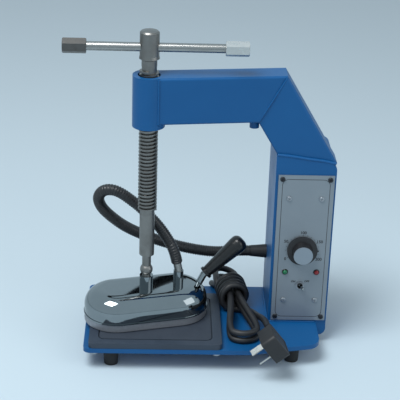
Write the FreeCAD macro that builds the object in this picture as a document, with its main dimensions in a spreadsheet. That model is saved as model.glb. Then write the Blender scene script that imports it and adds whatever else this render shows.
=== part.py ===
import FreeCAD, Part
import math
import os
import re
import Sketcher

# Rubber mold vulcanizer: a screw press that holds a heated iron on a tyre patch.
# The base plate carries a platen and a column of folded sheet. A gooseneck and an arm of
# rectangular tube reach out from the column to a boss, where the lead screw runs in a nut.
# Sizes in millimetres. Working frame: X to the right, Y to the back, Z up, the floor at
# Z = 0 and the screw's axis at X = 0, Y = 0. The finished pieces are moved over by ORIGIN_X
# and ORIGIN_Y, so that the shared origin is under the middle of the press.

V = FreeCAD.Vector
ACROSS = V(1, 0, 0)
BACK = V(0, 1, 0)
UP = V(0, 0, 1)

doc = FreeCAD.newDocument("vulcanizer")
sheet = doc.addObject("Spreadsheet::Sheet", "sizes")

# Driving sizes
SIZES = {
    # feet
    "foot_dia": 17, "foot_tall": 20, "foot_inset_left": 29, "foot_inset_front": 16,
    "foot_inset_rear": 19, "foot_right_x": 158, "foot_right_y": 39, "foot_taper": 1,
    "foot_screw_dia": 5, "foot_screw_head_dia": 9, "foot_screw_head_tall": 2.6,
    "foot_screw_grip": 4, "foot_bore_dia": 11, "foot_bore_deep": 9, "short_foot_bore": 5,
    "short_foot_x": 31, "short_foot_y": 18, "short_screw_grip": 5,
    # base plate, measured from the screw's axis
    "base_thick": 5, "base_left": 65, "base_front": 66, "base_rear": 79, "base_right": 187,
    "base_corner": 7, "base_front_corner": 16, "base_taper_start": 110, "base_taper": 16,
    # platen and its rubber pad
    "platen_wide": 141, "platen_deep": 116, "platen_tall": 6, "platen_shift": 11,
    "platen_forward": 7.5, "platen_corner": 5, "pad_margin": 11, "pad_thick": 3,
    "pad_groove": 1.2, "pad_corner": 6, "platen_screw_inset": 5.5, "platen_screw_grip": 4,
    # column of folded sheet
    "column_left": 134, "column_wide": 64, "column_front": 1, "column_deep": 78,
    "column_bottom": 9, "column_shoulder": 22, "sheet_thick": 1.5, "column_bend": 8,
    "column_flange": 9, "cover_thick": 1.2, "cover_screw_dia": 3, "cover_screw_head_dia": 6,
    "cover_screw_head": 2, "cover_screw_inset": 4.6, "cover_screw_grip": 4,
    # arm, gooseneck, boss and nut
    "tube_tall": 50, "tube_deep": 30, "tube_wall": 3, "tube_edge": 2.5, "neck_angle": 59,
    "arm_top": 307, "arm_swing": 7.2, "boss_dia": 34, "boss_tall": 55, "boss_mouth": 23.4,
    "boss_lip": 3, "nut_dia": 28, "peg_dia": 10, "peg_tall": 10, "peg_back": 3,
    # lead screw
    "thread_dia": 20, "thread_root": 15.5, "thread_pitch": 4, "thread_crest": 1.35,
    "thread_foot": 2.6, "thread_gap": 0.3, "thread_start": 153, "thread_end": 316,
    "head_top": 353, "head_tall": 27, "head_dia": 20, "head_collar": 21.2,
    "head_collar_tall": 3, "head_chamfer": 1.5, "bar_hole_z": 336, "shank_dia": 16,
    "shank_bottom": 105, "neck_dia": 9.6, "ball_dia": 13.8, "ball_z": 86.6, "pivot_dia": 9,
    "pivot_groove": 1, "pivot_groove_tall": 3, "pivot_groove_up": 4, "fit_gap": 0.08,
    # tommy bar, its length over both caps
    "bar_dia": 9.4, "bar_long": 188, "bar_shift": 6.5, "cap_across": 14,
    "cap_long": 24, "cap_bore_deep": 14, "cap_chamfer": 0.8,
    # iron
    "iron_long": 135, "iron_wide": 70, "iron_yaw": 14.5, "iron_gap": 0.2, "sole_tall": 8.8,
    "sole_edge": 1.2, "dome_tall": 27, "dome_round": 18, "dome_wall": 1.5, "dome_lip": 0.7,
    "dome_lip_tall": 1.4, "heater_long": 100, "heater_wide": 42, "heater_thick": 2,
    "clamp_thick": 4, "clamp_margin": 2.5, "sole_pocket": 3, "clamp_screw_dia": 4,
    "clamp_screw_head": 7, "clamp_screw_head_tall": 2.6, "clamp_screw_span": 84,
    "clamp_screw_gap": 28, "clamp_screw_grip": 4, "bulb_dia": 5, "bulb_long": 46,
    "bulb_side": 12, "socket_dia": 14.5, "socket_tall": 12.6, "socket_floor": 2.4,
    "socket_stem_dia": 12, "thrust_thick": 1.3, "thrust_gap": 0.1, "pin_dia": 2.4,
    "pin_gap": 0.2, "gland_along": 36, "gland_dia": 11, "gland_tall": 14, "gland_wall": 1,
    "gland_hole": 7, "ferrule_dia": 9, "ferrule_long": 9, "ferrule_lean": 12,
    "ferrule_seat": 6, "ferrule_knee": 1,
    # handle
    "rod_dia": 7.6, "bend_along": 64.5, "bend_up": 5.5, "rod_low": 22, "rod_rise": 62,
    "grip_rise": 41, "bolster_from": 2.3, "bolster_dia": 14.6, "bolster_thick": 3,
    "grip_long": 52.6, "grip_small": 12, "grip_big": 19.5, "grip_bore_deep": 30,
    "grip_end_round": 7,
    # front panel
    "panel_wide": 59.2, "panel_tall": 172, "panel_thick": 1.5, "panel_low": 28,
    "panel_off": 0.6, "panel_screw_inset": 4.4, "panel_screw_dia": 3, "panel_screw_head": 5.4,
    "panel_screw_head_tall": 1.4, "panel_screw_grip": 3, "bracket_screw_x": 17.2,
    "bracket_low": 53, "bracket_high": 173.6, "bracket_wide": 50, "bracket_tall": 12,
    "bracket_shelf": 40,
    # knob and thermostat
    "knob_z": 113.3, "knob_dia": 32.5, "knob_skirt": 3.6, "knob_grip_dia": 23,
    "knob_tip_dia": 21.4, "knob_tall": 14, "knob_cap_dia": 20.4, "knob_cap_thick": 1,
    "knob_clear": 0.8, "knob_bore_deep": 3, "grub_dia": 3, "grub_from_top": 6,
    "spindle_dia": 6, "bush_dia": 9, "bush_out": 0.5, "thermostat_dia": 34,
    "thermostat_deep": 26, "spindle_in": 10,
    # lamps and toggle switch
    "lamp_x": 17, "lamp_z": 87, "lamp_dia": 5, "lamp_out": 2.6, "lamp_in": 5,
    "lamp_holder_dia": 9, "lamp_holder_deep": 12, "toggle_z": 71.3, "toggle_bush": 6,
    "toggle_bush_wall": 0.6, "toggle_bush_out": 3.5, "toggle_nut": 9, "toggle_nut_thick": 2,
    "toggle_lever": 11.5, "toggle_lever_dia": 2.4, "toggle_tip_dia": 3.2, "toggle_tilt": 14,
    "toggle_pivot": 0.5, "toggle_case_wide": 13, "toggle_case_tall": 18,
    "toggle_case_deep": 14, "terminal_wide": 30, "terminal_deep": 14, "terminal_tall": 12,
    # ribbed hose
    "hose_dia": 12.4, "hose_bore": 8.4, "hose_rib": 0.5, "hose_pitch": 2.6,
    "grommet_y": 62, "grommet_z": 80, "grommet_dia": 15.4, "grommet_long": 18,
    "grommet_hole": 11,
    # mains cord, its strain relief, hank and plug
    "cord_dia": 7, "cord_gap": 1.4, "relief_x": 47, "relief_z": 70,
    "relief_long": 25, "relief_big": 13,
    "relief_small": 9, "relief_hole": 10, "relief_flange": 14, "hank_wide_front": 34,
    "hank_wide_rear": 26, "hank_tie_front": 62, "hank_tie_rear": 107, "wrap_radius": 13.9,
    "wrap_pitch": 7.7, "wrap_turns": 4,
    "plug_wide": 30, "plug_long": 30, "plug_thick": 17, "plug_round": 4,
    "plug_neck_long": 19, "plug_neck_dia": 11, "pin_wide": 6.2, "pin_thick": 1.6,
    "pin_long": 15, "pin_spread": 5.2, "pin_out": 8,
}

for row, (alias, size) in enumerate(SIZES.items(), start=1):
    sheet.set("A%d" % row, alias)
    sheet.set("B%d" % row, str(size))
    sheet.setAlias("B%d" % row, alias)
doc.recompute()

WORD = re.compile(r"[a-z][a-z_]*")


def full(expression):
    """Point the size names of an expression at the sheet."""
    def name(found):
        word = found.group(0)
        return "sizes." + word if word in SIZES else word
    return WORD.sub(name, str(expression))


def value(expression):
    return float(sheet.evalExpression(full(expression) + " + 0"))


# Heights and places that follow from the driving sizes
BASE_TOP = "(foot_tall + base_thick)"
PLATEN_TOP = "(foot_tall + base_thick + platen_tall)"
SOLE_LOW = "(foot_tall + base_thick + platen_tall + iron_gap)"
SOLE_TOP = "(%s + sole_tall)" % SOLE_LOW
DOME_TOP = "(%s + dome_tall)" % SOLE_TOP
SOCKET_BOTTOM = "(%s + socket_floor)" % DOME_TOP
PIVOT_LOW = "(%s + thrust_thick + 2 * thrust_gap)" % SOCKET_BOTTOM
ARM_LOW = "(arm_top - tube_tall)"
SLOPE = "tan(neck_angle * 1deg)"
COLUMN_RIGHT = "(column_left + column_wide)"
COLUMN_REAR = "(column_deep - column_front)"
SHOULDER_LEFT = "(panel_low + panel_tall + column_shoulder)"
NECK_IN = "(column_left - (%s - %s) / %s)" % (ARM_LOW, SHOULDER_LEFT, SLOPE)
NECK_OUT = ("(column_left - (arm_top - %s) / %s"
            " + tube_tall / sin(neck_angle * 1deg))" % (SHOULDER_LEFT, SLOPE))
SHOULDER_RIGHT = "(arm_top - (%s - %s) * %s)" % (COLUMN_RIGHT, NECK_OUT, SLOPE)
NECK_Y = "((%s + %s) / 2 * tan(arm_swing * 1deg))" % (NECK_IN, NECK_OUT)
PANEL_X = "(column_left + column_wide / 2 + panel_off)"
PANEL_FACE = "(-column_front - panel_thick)"
WALL_IN = "(panel_thick + sheet_thick)"
COVER_FACE = "(%s + cover_thick)" % COLUMN_REAR
PLATEN_LEFT = "(platen_shift - platen_wide / 2)"
PLATEN_FRONT = "(-platen_forward - platen_deep / 2)"
ORIGIN_X = "((%s + bar_shift - bar_long / 2) / 2)" % COLUMN_RIGHT
ORIGIN_Y = "((%s + cover_screw_head - base_front) / 2)" % COVER_FACE

NODES = {}


# Making pieces
def bind(thing, **properties):
    for path, expression in properties.items():
        thing.setExpression(path.replace("__", "."), full(expression))
    return thing


def put(thing, x="0", y="0", z="0", axis=UP, angle="0"):
    """Place a piece in the working frame."""
    turn = FreeCAD.Rotation(axis, value(angle))
    thing.Placement = FreeCAD.Placement(V(value(x), value(y), value(z)), turn)
    bind(thing, Placement__Base__x=x, Placement__Base__y=y, Placement__Base__z=z)
    if angle != "0":
        bind(thing, Placement__Rotation__Angle="(%s) * 1deg" % angle)
    return thing


def keep(name, thing, x="0", y="0", z="0", axis=UP, angle="0"):
    """Name a finished piece and place it in the shared frame."""
    put(thing, "%s - %s" % (x, ORIGIN_X), "%s - %s" % (y, ORIGIN_Y), z, axis, angle)
    thing.Label = name
    NODES[name] = thing
    return thing


def sketch_in(body, role):
    drawn = body.newObject("Sketcher::SketchObject", body.Name + "_outline")
    plane = [part for part in body.Origin.OriginFeatures if part.Role == role][0]
    drawn.AttachmentSupport = [(plane, "")]
    drawn.MapMode = "FlatFace"
    return drawn


def pin_down(drawn, index, end, along, up):
    """Hold one end of a sketch line at a place given by two expressions."""
    for kind, expression in (("DistanceX", along), ("DistanceY", up)):
        made = drawn.addConstraint(
            Sketcher.Constraint(kind, -1, 1, index, end, value(expression)))
        drawn.setExpression("Constraints[%d]" % made, full(expression))


def outline(body, role, corners):
    """Draw a closed outline of straight sides through the corners."""
    drawn = sketch_in(body, role)
    spots = [V(value(along), value(up), 0) for along, up in corners]
    for index, spot in enumerate(spots):
        drawn.addGeometry(Part.LineSegment(spot, spots[(index + 1) % len(spots)]))
    for index, (along, up) in enumerate(corners):
        following = (index + 1) % len(corners)
        drawn.addConstraint(Sketcher.Constraint("Coincident", index, 2, following, 1))
        pin_down(drawn, index, 1, along, up)
    return drawn


def extruded(name, role, corners, length, backwards=False):
    body = doc.addObject("PartDesign::Body", name)
    pad = body.newObject("PartDesign::Pad", name + "_pad")
    pad.Profile = outline(body, role, corners)
    pad.Reversed = backwards
    bind(pad, Length=length)
    doc.recompute()
    return body


def turned(name, corners):
    """Turn a profile of (radius, height) corners about the piece's own Z axis."""
    body = doc.addObject("PartDesign::Body", name)
    drawn = outline(body, "XZ_Plane", corners)
    spun = body.newObject("PartDesign::Revolution", name + "_spun")
    spun.Profile = drawn
    spun.ReferenceAxis = (drawn, ["V_Axis"])
    spun.Angle = 360
    doc.recompute()
    return body


def stadium(name, length, width, height):
    """Extrude a plate with half-round ends, its long axis on X."""
    body = doc.addObject("PartDesign::Body", name)
    drawn = sketch_in(body, "XY_Plane")
    radius = value(width) / 2
    reach = (value(length) - value(width)) / 2
    right = Part.Circle(V(reach, 0, 0), UP, radius)
    left = Part.Circle(V(-reach, 0, 0), UP, radius)
    drawn.addGeometry(Part.ArcOfCircle(right, -math.pi / 2, math.pi / 2))
    drawn.addGeometry(Part.LineSegment(V(reach, radius, 0), V(-reach, radius, 0)))
    drawn.addGeometry(Part.ArcOfCircle(left, math.pi / 2, 3 * math.pi / 2))
    drawn.addGeometry(Part.LineSegment(V(-reach, -radius, 0), V(reach, -radius, 0)))
    for index in range(4):
        following = (index + 1) % 4
        drawn.addConstraint(Sketcher.Constraint("Tangent", index, 2, following, 1))
    drawn.addConstraint(Sketcher.Constraint("PointOnObject", 0, 3, -1))
    drawn.addConstraint(Sketcher.Constraint("PointOnObject", 2, 3, -1))
    for index, first, last in ((0, -1, 0), (2, 2, -1)):
        ends = (first, 1 if first == -1 else 3, last, 3 if last == 0 else 1)
        made = drawn.addConstraint(Sketcher.Constraint("DistanceX", *ends, reach))
        drawn.setExpression("Constraints[%d]" % made,
                            full("(%s - %s) / 2" % (length, width)))
    made = drawn.addConstraint(Sketcher.Constraint("Radius", 0, radius))
    drawn.setExpression("Constraints[%d]" % made, full("%s / 2" % width))
    pad = body.newObject("PartDesign::Pad", name + "_pad")
    pad.Profile = drawn
    bind(pad, Length=height)
    doc.recompute()
    return body


def edges_where(body, test):
    shape = body.Tip.Shape
    return ["Edge%d" % (index + 1) for index, edge in enumerate(shape.Edges) if test(edge)]


def rounded(body, radius, test):
    """Round the edges of a body that pass a test."""
    sharp = body.Tip
    picked = edges_where(body, test)
    fillet = body.newObject("PartDesign::Fillet", body.Name + "_round")
    fillet.Base = (sharp, picked)
    bind(fillet, Radius=radius)
    doc.recompute()
    return body


def upright(edge):
    return abs(edge.tangentAt(edge.FirstParameter).z) > 0.999


def box(name, length, width, height):
    made = doc.addObject("Part::Box", name)
    return bind(made, Length=length, Width=width, Height=height)


def rod(name, diameter, height):
    made = doc.addObject("Part::Cylinder", name)
    return bind(made, Radius="(%s) / 2" % diameter, Height=height)


def fused(name, *parts):
    made = doc.addObject("Part::MultiFuse", name)
    made.Shapes = list(parts)
    return made


def less(name, base, *tools):
    """Cut the tools away from a base."""
    tool = tools[0] if len(tools) == 1 else fused(name + "_tools", *tools)
    made = doc.addObject("Part::Cut", name)
    made.Base = base
    made.Tool = tool
    return made


def together(name, *parts):
    """Set like pieces side by side in one node."""
    made = doc.addObject("Part::Compound", name)
    made.Links = list(parts)
    return made


# Feet: turned rubber, bored from below for a pan head screw
def foot(name, tall, bore, x, y):
    made = turned(name, [
        ("foot_bore_dia / 2", "0"), ("foot_dia / 2 - foot_taper", "0"),
        ("foot_dia / 2", tall), ("foot_screw_dia / 2", tall),
        ("foot_screw_dia / 2", bore), ("foot_bore_dia / 2", bore)])
    return keep(name, made, x, y)


def pan_screw(name, diameter, grip, head_dia, head_tall, x, y, z, axis=UP, angle="0"):
    """A screw whose head's seat is at x, y, z, with the shank up from it."""
    made = turned(name, [
        ("0", "-%s" % head_tall), ("%s / 2" % head_dia, "-%s" % head_tall),
        ("%s / 2" % head_dia, "0"), ("%s / 2" % diameter, "0"),
        ("%s / 2" % diameter, grip), ("0", grip)])
    return put(made, x, y, z, axis, angle)


FOOT_SPOTS = {
    "foot_front_left": ("foot_inset_left - base_left", "foot_inset_front - base_front"),
    "foot_front_right": ("foot_right_x", "-foot_right_y"),
    "foot_rear_left": ("foot_inset_left - base_left", "base_rear - foot_inset_rear"),
}
SHORT_FOOT = ("(column_left + short_foot_x)", "(%s - short_foot_y)" % COLUMN_REAR)
base_screws = []
for name, (x, y) in FOOT_SPOTS.items():
    foot(name, "foot_tall", "foot_bore_deep", x, y)
    base_screws.append(pan_screw(
        name + "_screw", "foot_screw_dia", "foot_tall - foot_bore_deep + foot_screw_grip",
        "foot_screw_head_dia", "foot_screw_head_tall", x, y, "foot_bore_deep"))
foot("foot_rear_right", "column_bottom", "short_foot_bore", *SHORT_FOOT)
base_screws.append(pan_screw(
    "foot_rear_right_screw", "foot_screw_dia",
    "column_bottom - short_foot_bore + short_screw_grip",
    "foot_screw_head_dia", "foot_screw_head_tall", *SHORT_FOOT, "short_foot_bore"))

# Platen screws, up through the base plate
platen_spots = []
for x in ("%s + platen_screw_inset" % PLATEN_LEFT,
          "%s + platen_wide - platen_screw_inset" % PLATEN_LEFT):
    for y in ("%s + platen_screw_inset" % PLATEN_FRONT,
              "%s + platen_deep - platen_screw_inset" % PLATEN_FRONT):
        platen_spots.append((x, y))
for index, (x, y) in enumerate(platen_spots):
    base_screws.append(pan_screw(
        "platen_screw_%d" % index, "foot_screw_dia", "base_thick + platen_screw_grip",
        "foot_screw_head_dia", "foot_screw_head_tall", x, y, "foot_tall"))
keep("base_screws", together("base_screw_set", *base_screws))

# Base plate: notched at the right rear, where the column stands in it
base_blank = extruded("base_blank", "XY_Plane", [
    ("-base_left", "-base_front"), ("base_taper_start", "-base_front"),
    ("base_right", "base_taper - base_front"), ("base_right", "-column_front"),
    ("column_left", "-column_front"), ("column_left", "base_rear"),
    ("-base_left", "base_rear")], "base_thick")
corner_x = value("base_right")
corner_y = value("base_taper - base_front")
left_x = value("-base_left")
rounded(base_blank, "base_front_corner",
        lambda edge: upright(edge) and abs(edge.CenterOfMass.x - corner_x) < 0.1
        and abs(edge.CenterOfMass.y - corner_y) < 0.1)
rounded(base_blank, "base_corner",
        lambda edge: upright(edge) and abs(edge.CenterOfMass.x - left_x) < 0.1)
put(base_blank, "0", "0", "foot_tall")
base_holes = []
for name, (x, y) in FOOT_SPOTS.items():
    hole = rod(name + "_hole", "foot_screw_dia", "foot_screw_grip")
    base_holes.append(put(hole, x, y, "foot_tall"))
for index, (x, y) in enumerate(platen_spots):
    hole = rod("platen_hole_%d" % index, "foot_screw_dia", "base_thick")
    base_holes.append(put(hole, x, y, "foot_tall"))
keep("base_plate", less("base_drilled", base_blank, *base_holes))


# Lower platen: a tray, with the rubber pad let in flush
def soft_cornered(name, width, depth, height, corner):
    """A plate with its four upright corners rounded, its middle on the axis."""
    made = extruded(name, "XY_Plane", [
        ("-%s / 2" % width, "-%s / 2" % depth), ("%s / 2" % width, "-%s / 2" % depth),
        ("%s / 2" % width, "%s / 2" % depth), ("-%s / 2" % width, "%s / 2" % depth)],
        height)
    return rounded(made, corner, upright)


platen_blank = soft_cornered("platen_plate", "platen_wide", "platen_deep", "platen_tall",
                             "platen_corner")
put(platen_blank, "platen_shift", "-platen_forward", BASE_TOP)
PAD_WIDE = "(platen_wide - 2 * pad_margin)"
PAD_DEEP = "(platen_deep - 2 * pad_margin)"
PAD_LOW = "(%s - pad_thick)" % PLATEN_TOP
tray = soft_cornered("platen_tray", "(%s + 2 * pad_groove)" % PAD_WIDE,
                     "(%s + 2 * pad_groove)" % PAD_DEEP, "pad_thick",
                     "pad_corner + pad_groove")
put(tray, "platen_shift", "-platen_forward", PAD_LOW)
platen_holes = []
for index, (x, y) in enumerate(platen_spots):
    hole = rod("platen_thread_%d" % index, "foot_screw_dia", "platen_screw_grip")
    platen_holes.append(put(hole, x, y, BASE_TOP))
keep("lower_platen", less("platen_finished", platen_blank, tray, *platen_holes))
pad = soft_cornered("pad_sheet", PAD_WIDE, PAD_DEEP, "pad_thick", "pad_corner")
keep("platen_pad", pad, "platen_shift", "-platen_forward", PAD_LOW)


# Column: a shell of folded sheet, open at the back under a screwed cover
def column_body(name, inset, bend, front, depth):
    """The column's side view, drawn in by an inset, and extruded backwards."""
    made = extruded(name, "XZ_Plane", [
        ("column_left + %s" % inset, "column_bottom + %s" % inset),
        ("%s - %s" % (COLUMN_RIGHT, inset), "column_bottom + %s" % inset),
        ("%s - %s" % (COLUMN_RIGHT, inset), "%s - %s" % (SHOULDER_RIGHT, inset)),
        ("column_left + %s" % inset, "%s - %s" % (SHOULDER_LEFT, inset))], depth, True)
    right = value("%s - %s" % (COLUMN_RIGHT, inset))
    rounded(made, bend, lambda edge: abs(edge.tangentAt(edge.FirstParameter).y) > 0.999
            and abs(edge.CenterOfMass.x - right) < 0.1)
    return put(made, "0", front, "0")


column_outer = column_body("column_outer", "0", "column_bend", "-column_front",
                           "column_deep")
column_inner = column_body("column_inner", "sheet_thick", "column_bend - sheet_thick",
                           "sheet_thick - column_front", "column_deep - 2 * sheet_thick")
column_mouth = column_body("column_mouth", "column_flange", "column_bend / 2", "0",
                           "column_deep")
bracket_spots = [("%s %s bracket_screw_x" % (PANEL_X, side), z)
                 for side in "-+" for z in ("bracket_low", "bracket_high")]
panel_corners = [("%s %s (panel_wide / 2 - panel_screw_inset)" % (PANEL_X, side), z)
                 for side in "-+" for z in
                 ("panel_low + panel_screw_inset", "panel_low + panel_tall - panel_screw_inset")]
lamp_spots = {"green_lamp": "%s - lamp_x" % PANEL_X, "red_lamp": "%s + lamp_x" % PANEL_X}


def front_hole(name, diameter, x, z, depth=WALL_IN):
    """A hole straight back from the panel's face."""
    return put(rod(name, diameter, depth), x, PANEL_FACE, z, ACROSS, "-90")


def front_holes(prefix):
    """All the holes that panel and column wall share, and the panel's own screws."""
    holes = [front_hole(prefix + "_bush", "bush_dia", PANEL_X, "knob_z"),
             front_hole(prefix + "_toggle", "toggle_bush", PANEL_X, "toggle_z")]
    for index, (x, z) in enumerate(bracket_spots + panel_corners):
        holes.append(front_hole("%s_screw_%d" % (prefix, index), "panel_screw_dia", x, z))
    for name, x in lamp_spots.items():
        holes.append(front_hole("%s_%s" % (prefix, name), "lamp_dia", x, "lamp_z"))
    return holes


cover_spots = [(x, z) for x in ("column_left + cover_screw_inset",
                                "%s - cover_screw_inset" % COLUMN_RIGHT)
               for z in ("column_bottom + cover_screw_inset * 2",
                         "%s - cover_screw_inset * 2" % SHOULDER_RIGHT)]
grommet_hole = put(rod("grommet_hole", "grommet_hole", "2 * sheet_thick"),
                   "column_left - sheet_thick / 2", "grommet_y", "grommet_z", BACK, "90")
foot_hole = put(rod("short_foot_hole", "foot_screw_dia", "2 * sheet_thick"),
                *SHORT_FOOT, "column_bottom - sheet_thick / 2")
cover_holes = [put(rod("cover_thread_%d" % index, "cover_screw_dia", "2 * sheet_thick"),
                   x, "%s - 1.5 * sheet_thick" % COLUMN_REAR, z, ACROSS, "-90")
               for index, (x, z) in enumerate(cover_spots)]
keep("column_shell", less("column_cut", column_outer, column_inner, column_mouth,
                          grommet_hole, foot_hole, *cover_holes, *front_holes("wall")))

# Rear cover and its screws
RELIEF_X = "(column_left + relief_x)"
cover_blank = column_body("cover_blank", "0", "column_bend", COLUMN_REAR, "cover_thick")
cover_cuts = [put(rod("relief_hole_cut", "relief_hole", "2 * cover_thick"), RELIEF_X,
                  "%s - cover_thick / 2" % COLUMN_REAR, "relief_z", ACROSS, "-90")]
cover_screws = []
for index, (x, z) in enumerate(cover_spots):
    cover_cuts.append(put(rod("cover_hole_%d" % index, "cover_screw_dia",
                              "2 * cover_thick"),
                          x, "%s - cover_thick / 2" % COLUMN_REAR, z, ACROSS, "-90"))
    cover_screws.append(pan_screw("cover_screw_%d" % index, "cover_screw_dia",
                                  "cover_screw_grip", "cover_screw_head_dia",
                                  "cover_screw_head", x, COVER_FACE, z, ACROSS, "90"))
keep("rear_cover", less("cover_cut", cover_blank, *cover_cuts))
keep("rear_cover_screws", together("cover_screw_set", *cover_screws))


# Gooseneck and arm: rectangular tube, mitred where they meet
def neck_body(name, wall, past):
    """The gooseneck's side view, thinner by a wall and longer past both ends."""
    lean_x = "(%s / sin(neck_angle * 1deg))" % wall
    along_x = "(%s * cos(neck_angle * 1deg))" % past
    along_z = "(%s * sin(neck_angle * 1deg))" % past
    made = extruded(name, "XZ_Plane", [
        ("column_left + %s + %s" % (lean_x, along_x), "%s - %s" % (SHOULDER_LEFT, along_z)),
        ("%s - %s + %s" % (COLUMN_RIGHT, lean_x, along_x),
         "%s - %s" % (SHOULDER_RIGHT, along_z)),
        ("%s - %s - %s" % (NECK_OUT, lean_x, along_x), "arm_top + %s" % along_z),
        ("%s + %s - %s" % (NECK_IN, lean_x, along_x), "%s + %s" % (ARM_LOW, along_z))],
        "tube_deep - 2 * %s" % wall, True)
    return made


neck_outer = neck_body("neck_outer", "0", "0")
neck_run = V(-math.cos(math.radians(value("neck_angle"))), 0,
             math.sin(math.radians(value("neck_angle"))))
rounded(neck_outer, "tube_edge", lambda edge:
        abs(edge.tangentAt(edge.FirstParameter).dot(neck_run)) > 0.9999)
put(neck_outer, "0", "%s - tube_deep / 2" % NECK_Y, "0")
neck_inner = neck_body("neck_inner", "tube_wall", "tube_tall")
put(neck_inner, "0", "%s - tube_deep / 2 + tube_wall" % NECK_Y, "0")
keep("gooseneck", less("neck_hollow", neck_outer, neck_inner))

arm_body = extruded("arm_outer", "YZ_Plane", [
    ("-tube_deep / 2", ARM_LOW), ("tube_deep / 2", ARM_LOW),
    ("tube_deep / 2", "arm_top"), ("-tube_deep / 2", "arm_top")], NECK_OUT + " * 1.2")
rounded(arm_body, "tube_edge", lambda edge:
        abs(edge.tangentAt(edge.FirstParameter).x) > 0.9999)
put(arm_body, "0", "0", "0", UP, "arm_swing")
arm_inner = extruded("arm_inner", "YZ_Plane", [
    ("tube_wall - tube_deep / 2", "%s + tube_wall" % ARM_LOW),
    ("tube_deep / 2 - tube_wall", "%s + tube_wall" % ARM_LOW),
    ("tube_deep / 2 - tube_wall", "arm_top - tube_wall"),
    ("tube_wall - tube_deep / 2", "arm_top - tube_wall")], NECK_OUT + " * 1.2")
put(arm_inner, "0", "0", "0", UP, "arm_swing")
BEYOND = "(%s * 2)" % NECK_OUT
mitre = extruded("mitre", "XZ_Plane", [
    (NECK_IN, ARM_LOW), (NECK_OUT, "arm_top"), (NECK_OUT, "arm_top + tube_tall"),
    (BEYOND, "arm_top + tube_tall"), (BEYOND, "%s - tube_tall" % ARM_LOW),
    (NECK_IN, "%s - tube_tall" % ARM_LOW)], "tube_deep * 3", True)
put(mitre, "0", "-tube_deep", "0")
cope = put(rod("cope", "boss_dia", "boss_tall"), "0", "0", "arm_top - boss_tall")
keep("arm", less("arm_cut", arm_body, arm_inner, mitre, cope))

# Hook peg in the corner under the mitre
peg_stem = put(rod("peg_stem", "peg_dia", "peg_tall"), "%s - peg_back" % NECK_IN,
               "%s * tan(arm_swing * 1deg)" % NECK_IN, "%s - peg_tall" % ARM_LOW)
neck_cut = neck_body("neck_cut", "0", "0")
put(neck_cut, "0", "%s - tube_deep / 2" % NECK_Y, "0")
keep("hook_peg", less("peg_cut", peg_stem, neck_cut))

# Boss and nut
keep("nut_boss", turned("boss_turned", [
    ("nut_dia / 2", "arm_top - boss_tall"), ("boss_dia / 2", "arm_top - boss_tall"),
    ("boss_dia / 2", "arm_top"), ("boss_mouth / 2", "arm_top"),
    ("boss_mouth / 2", "arm_top - boss_lip"), ("nut_dia / 2", "arm_top - boss_lip")]))


def thread_rib(gap, start, length):
    """One trapezoidal rib round the screw's axis, wound right-handed."""
    root = value("thread_root") / 2
    crest = value("thread_dia") / 2 + gap
    wide = value("thread_foot") / 2 + gap
    narrow = value("thread_crest") / 2 + gap
    inside = root - (0.2 if gap else 0.4)
    corners = [V(inside, 0, start - wide), V(crest, 0, start - narrow),
               V(crest, 0, start + narrow), V(inside, 0, start + wide)]
    profile = Part.makePolygon(corners + corners[:1])
    helix = Part.makeHelix(value("thread_pitch"), length, root)
    helix.translate(V(0, 0, start))
    return Part.Wire(helix).makePipeShell([profile], True, True)


start = value("thread_start")
pitch = value("thread_pitch")
rib = doc.addObject("Part::Feature", "screw_rib")
rib.Shape = thread_rib(0, start + pitch, value("thread_end - thread_start") - 2 * pitch)
nut_bottom = value("arm_top - boss_tall")
nut_rib_start = start + pitch * math.floor((nut_bottom - start) / pitch - 1)
cutter = doc.addObject("Part::Feature", "nut_cutter")
gap = value("thread_gap")
cutter_rod = Part.makeCylinder(value("thread_root") / 2 + gap,
                               value("boss_tall") + 4 * pitch,
                               V(0, 0, nut_bottom - 2 * pitch))
cutter.Shape = cutter_rod.fuse(
    thread_rib(gap, nut_rib_start, value("boss_tall") + 3 * pitch))
nut_blank = put(rod("nut_blank", "nut_dia", "boss_tall - boss_lip"), "0", "0",
                "arm_top - boss_tall")
keep("screw_nut", less("nut_threaded", nut_blank, cutter))

# Lead screw: one turned bar with its thread, ball and pivot
HEAD_LOW = "(head_top - head_tall)"
GROOVE_LOW = "(%s + pivot_groove_up)" % PIVOT_LOW
GROOVE_TOP = "(%s + pivot_groove_tall)" % GROOVE_LOW
screw_core = turned("screw_core", [
    ("0", PIVOT_LOW), ("pivot_dia / 2", PIVOT_LOW), ("pivot_dia / 2", GROOVE_LOW),
    ("pivot_dia / 2 - pivot_groove", GROOVE_LOW),
    ("pivot_dia / 2 - pivot_groove", GROOVE_TOP), ("pivot_dia / 2", GROOVE_TOP),
    ("pivot_dia / 2", "ball_z"), ("neck_dia / 2", "ball_z"),
    ("neck_dia / 2", "shank_bottom"), ("shank_dia / 2", "shank_bottom"),
    ("shank_dia / 2", "thread_start"), ("thread_root / 2", "thread_start"),
    ("thread_root / 2", "thread_end"), ("shank_dia / 2", "thread_end"),
    ("shank_dia / 2", "%s - head_collar_tall" % HEAD_LOW),
    ("head_collar / 2", "%s - head_collar_tall / 2" % HEAD_LOW),
    ("head_dia / 2", "%s + head_collar_tall / 2" % HEAD_LOW),
    ("head_dia / 2", "head_top - head_chamfer"),
    ("head_dia / 2 - head_chamfer", "head_top"), ("0", "head_top")])
ball = put(bind(doc.addObject("Part::Sphere", "screw_ball"), Radius="ball_dia / 2"),
           "0", "0", "ball_z")
cross_hole = put(rod("cross_hole", "bar_dia + 2 * fit_gap", "2 * head_dia"),
                 "-head_dia", "0", "bar_hole_z", BACK, "90")
keep("lead_screw", less("screw_drilled", fused("screw_solid", screw_core, ball, rib),
                        cross_hole))

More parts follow.
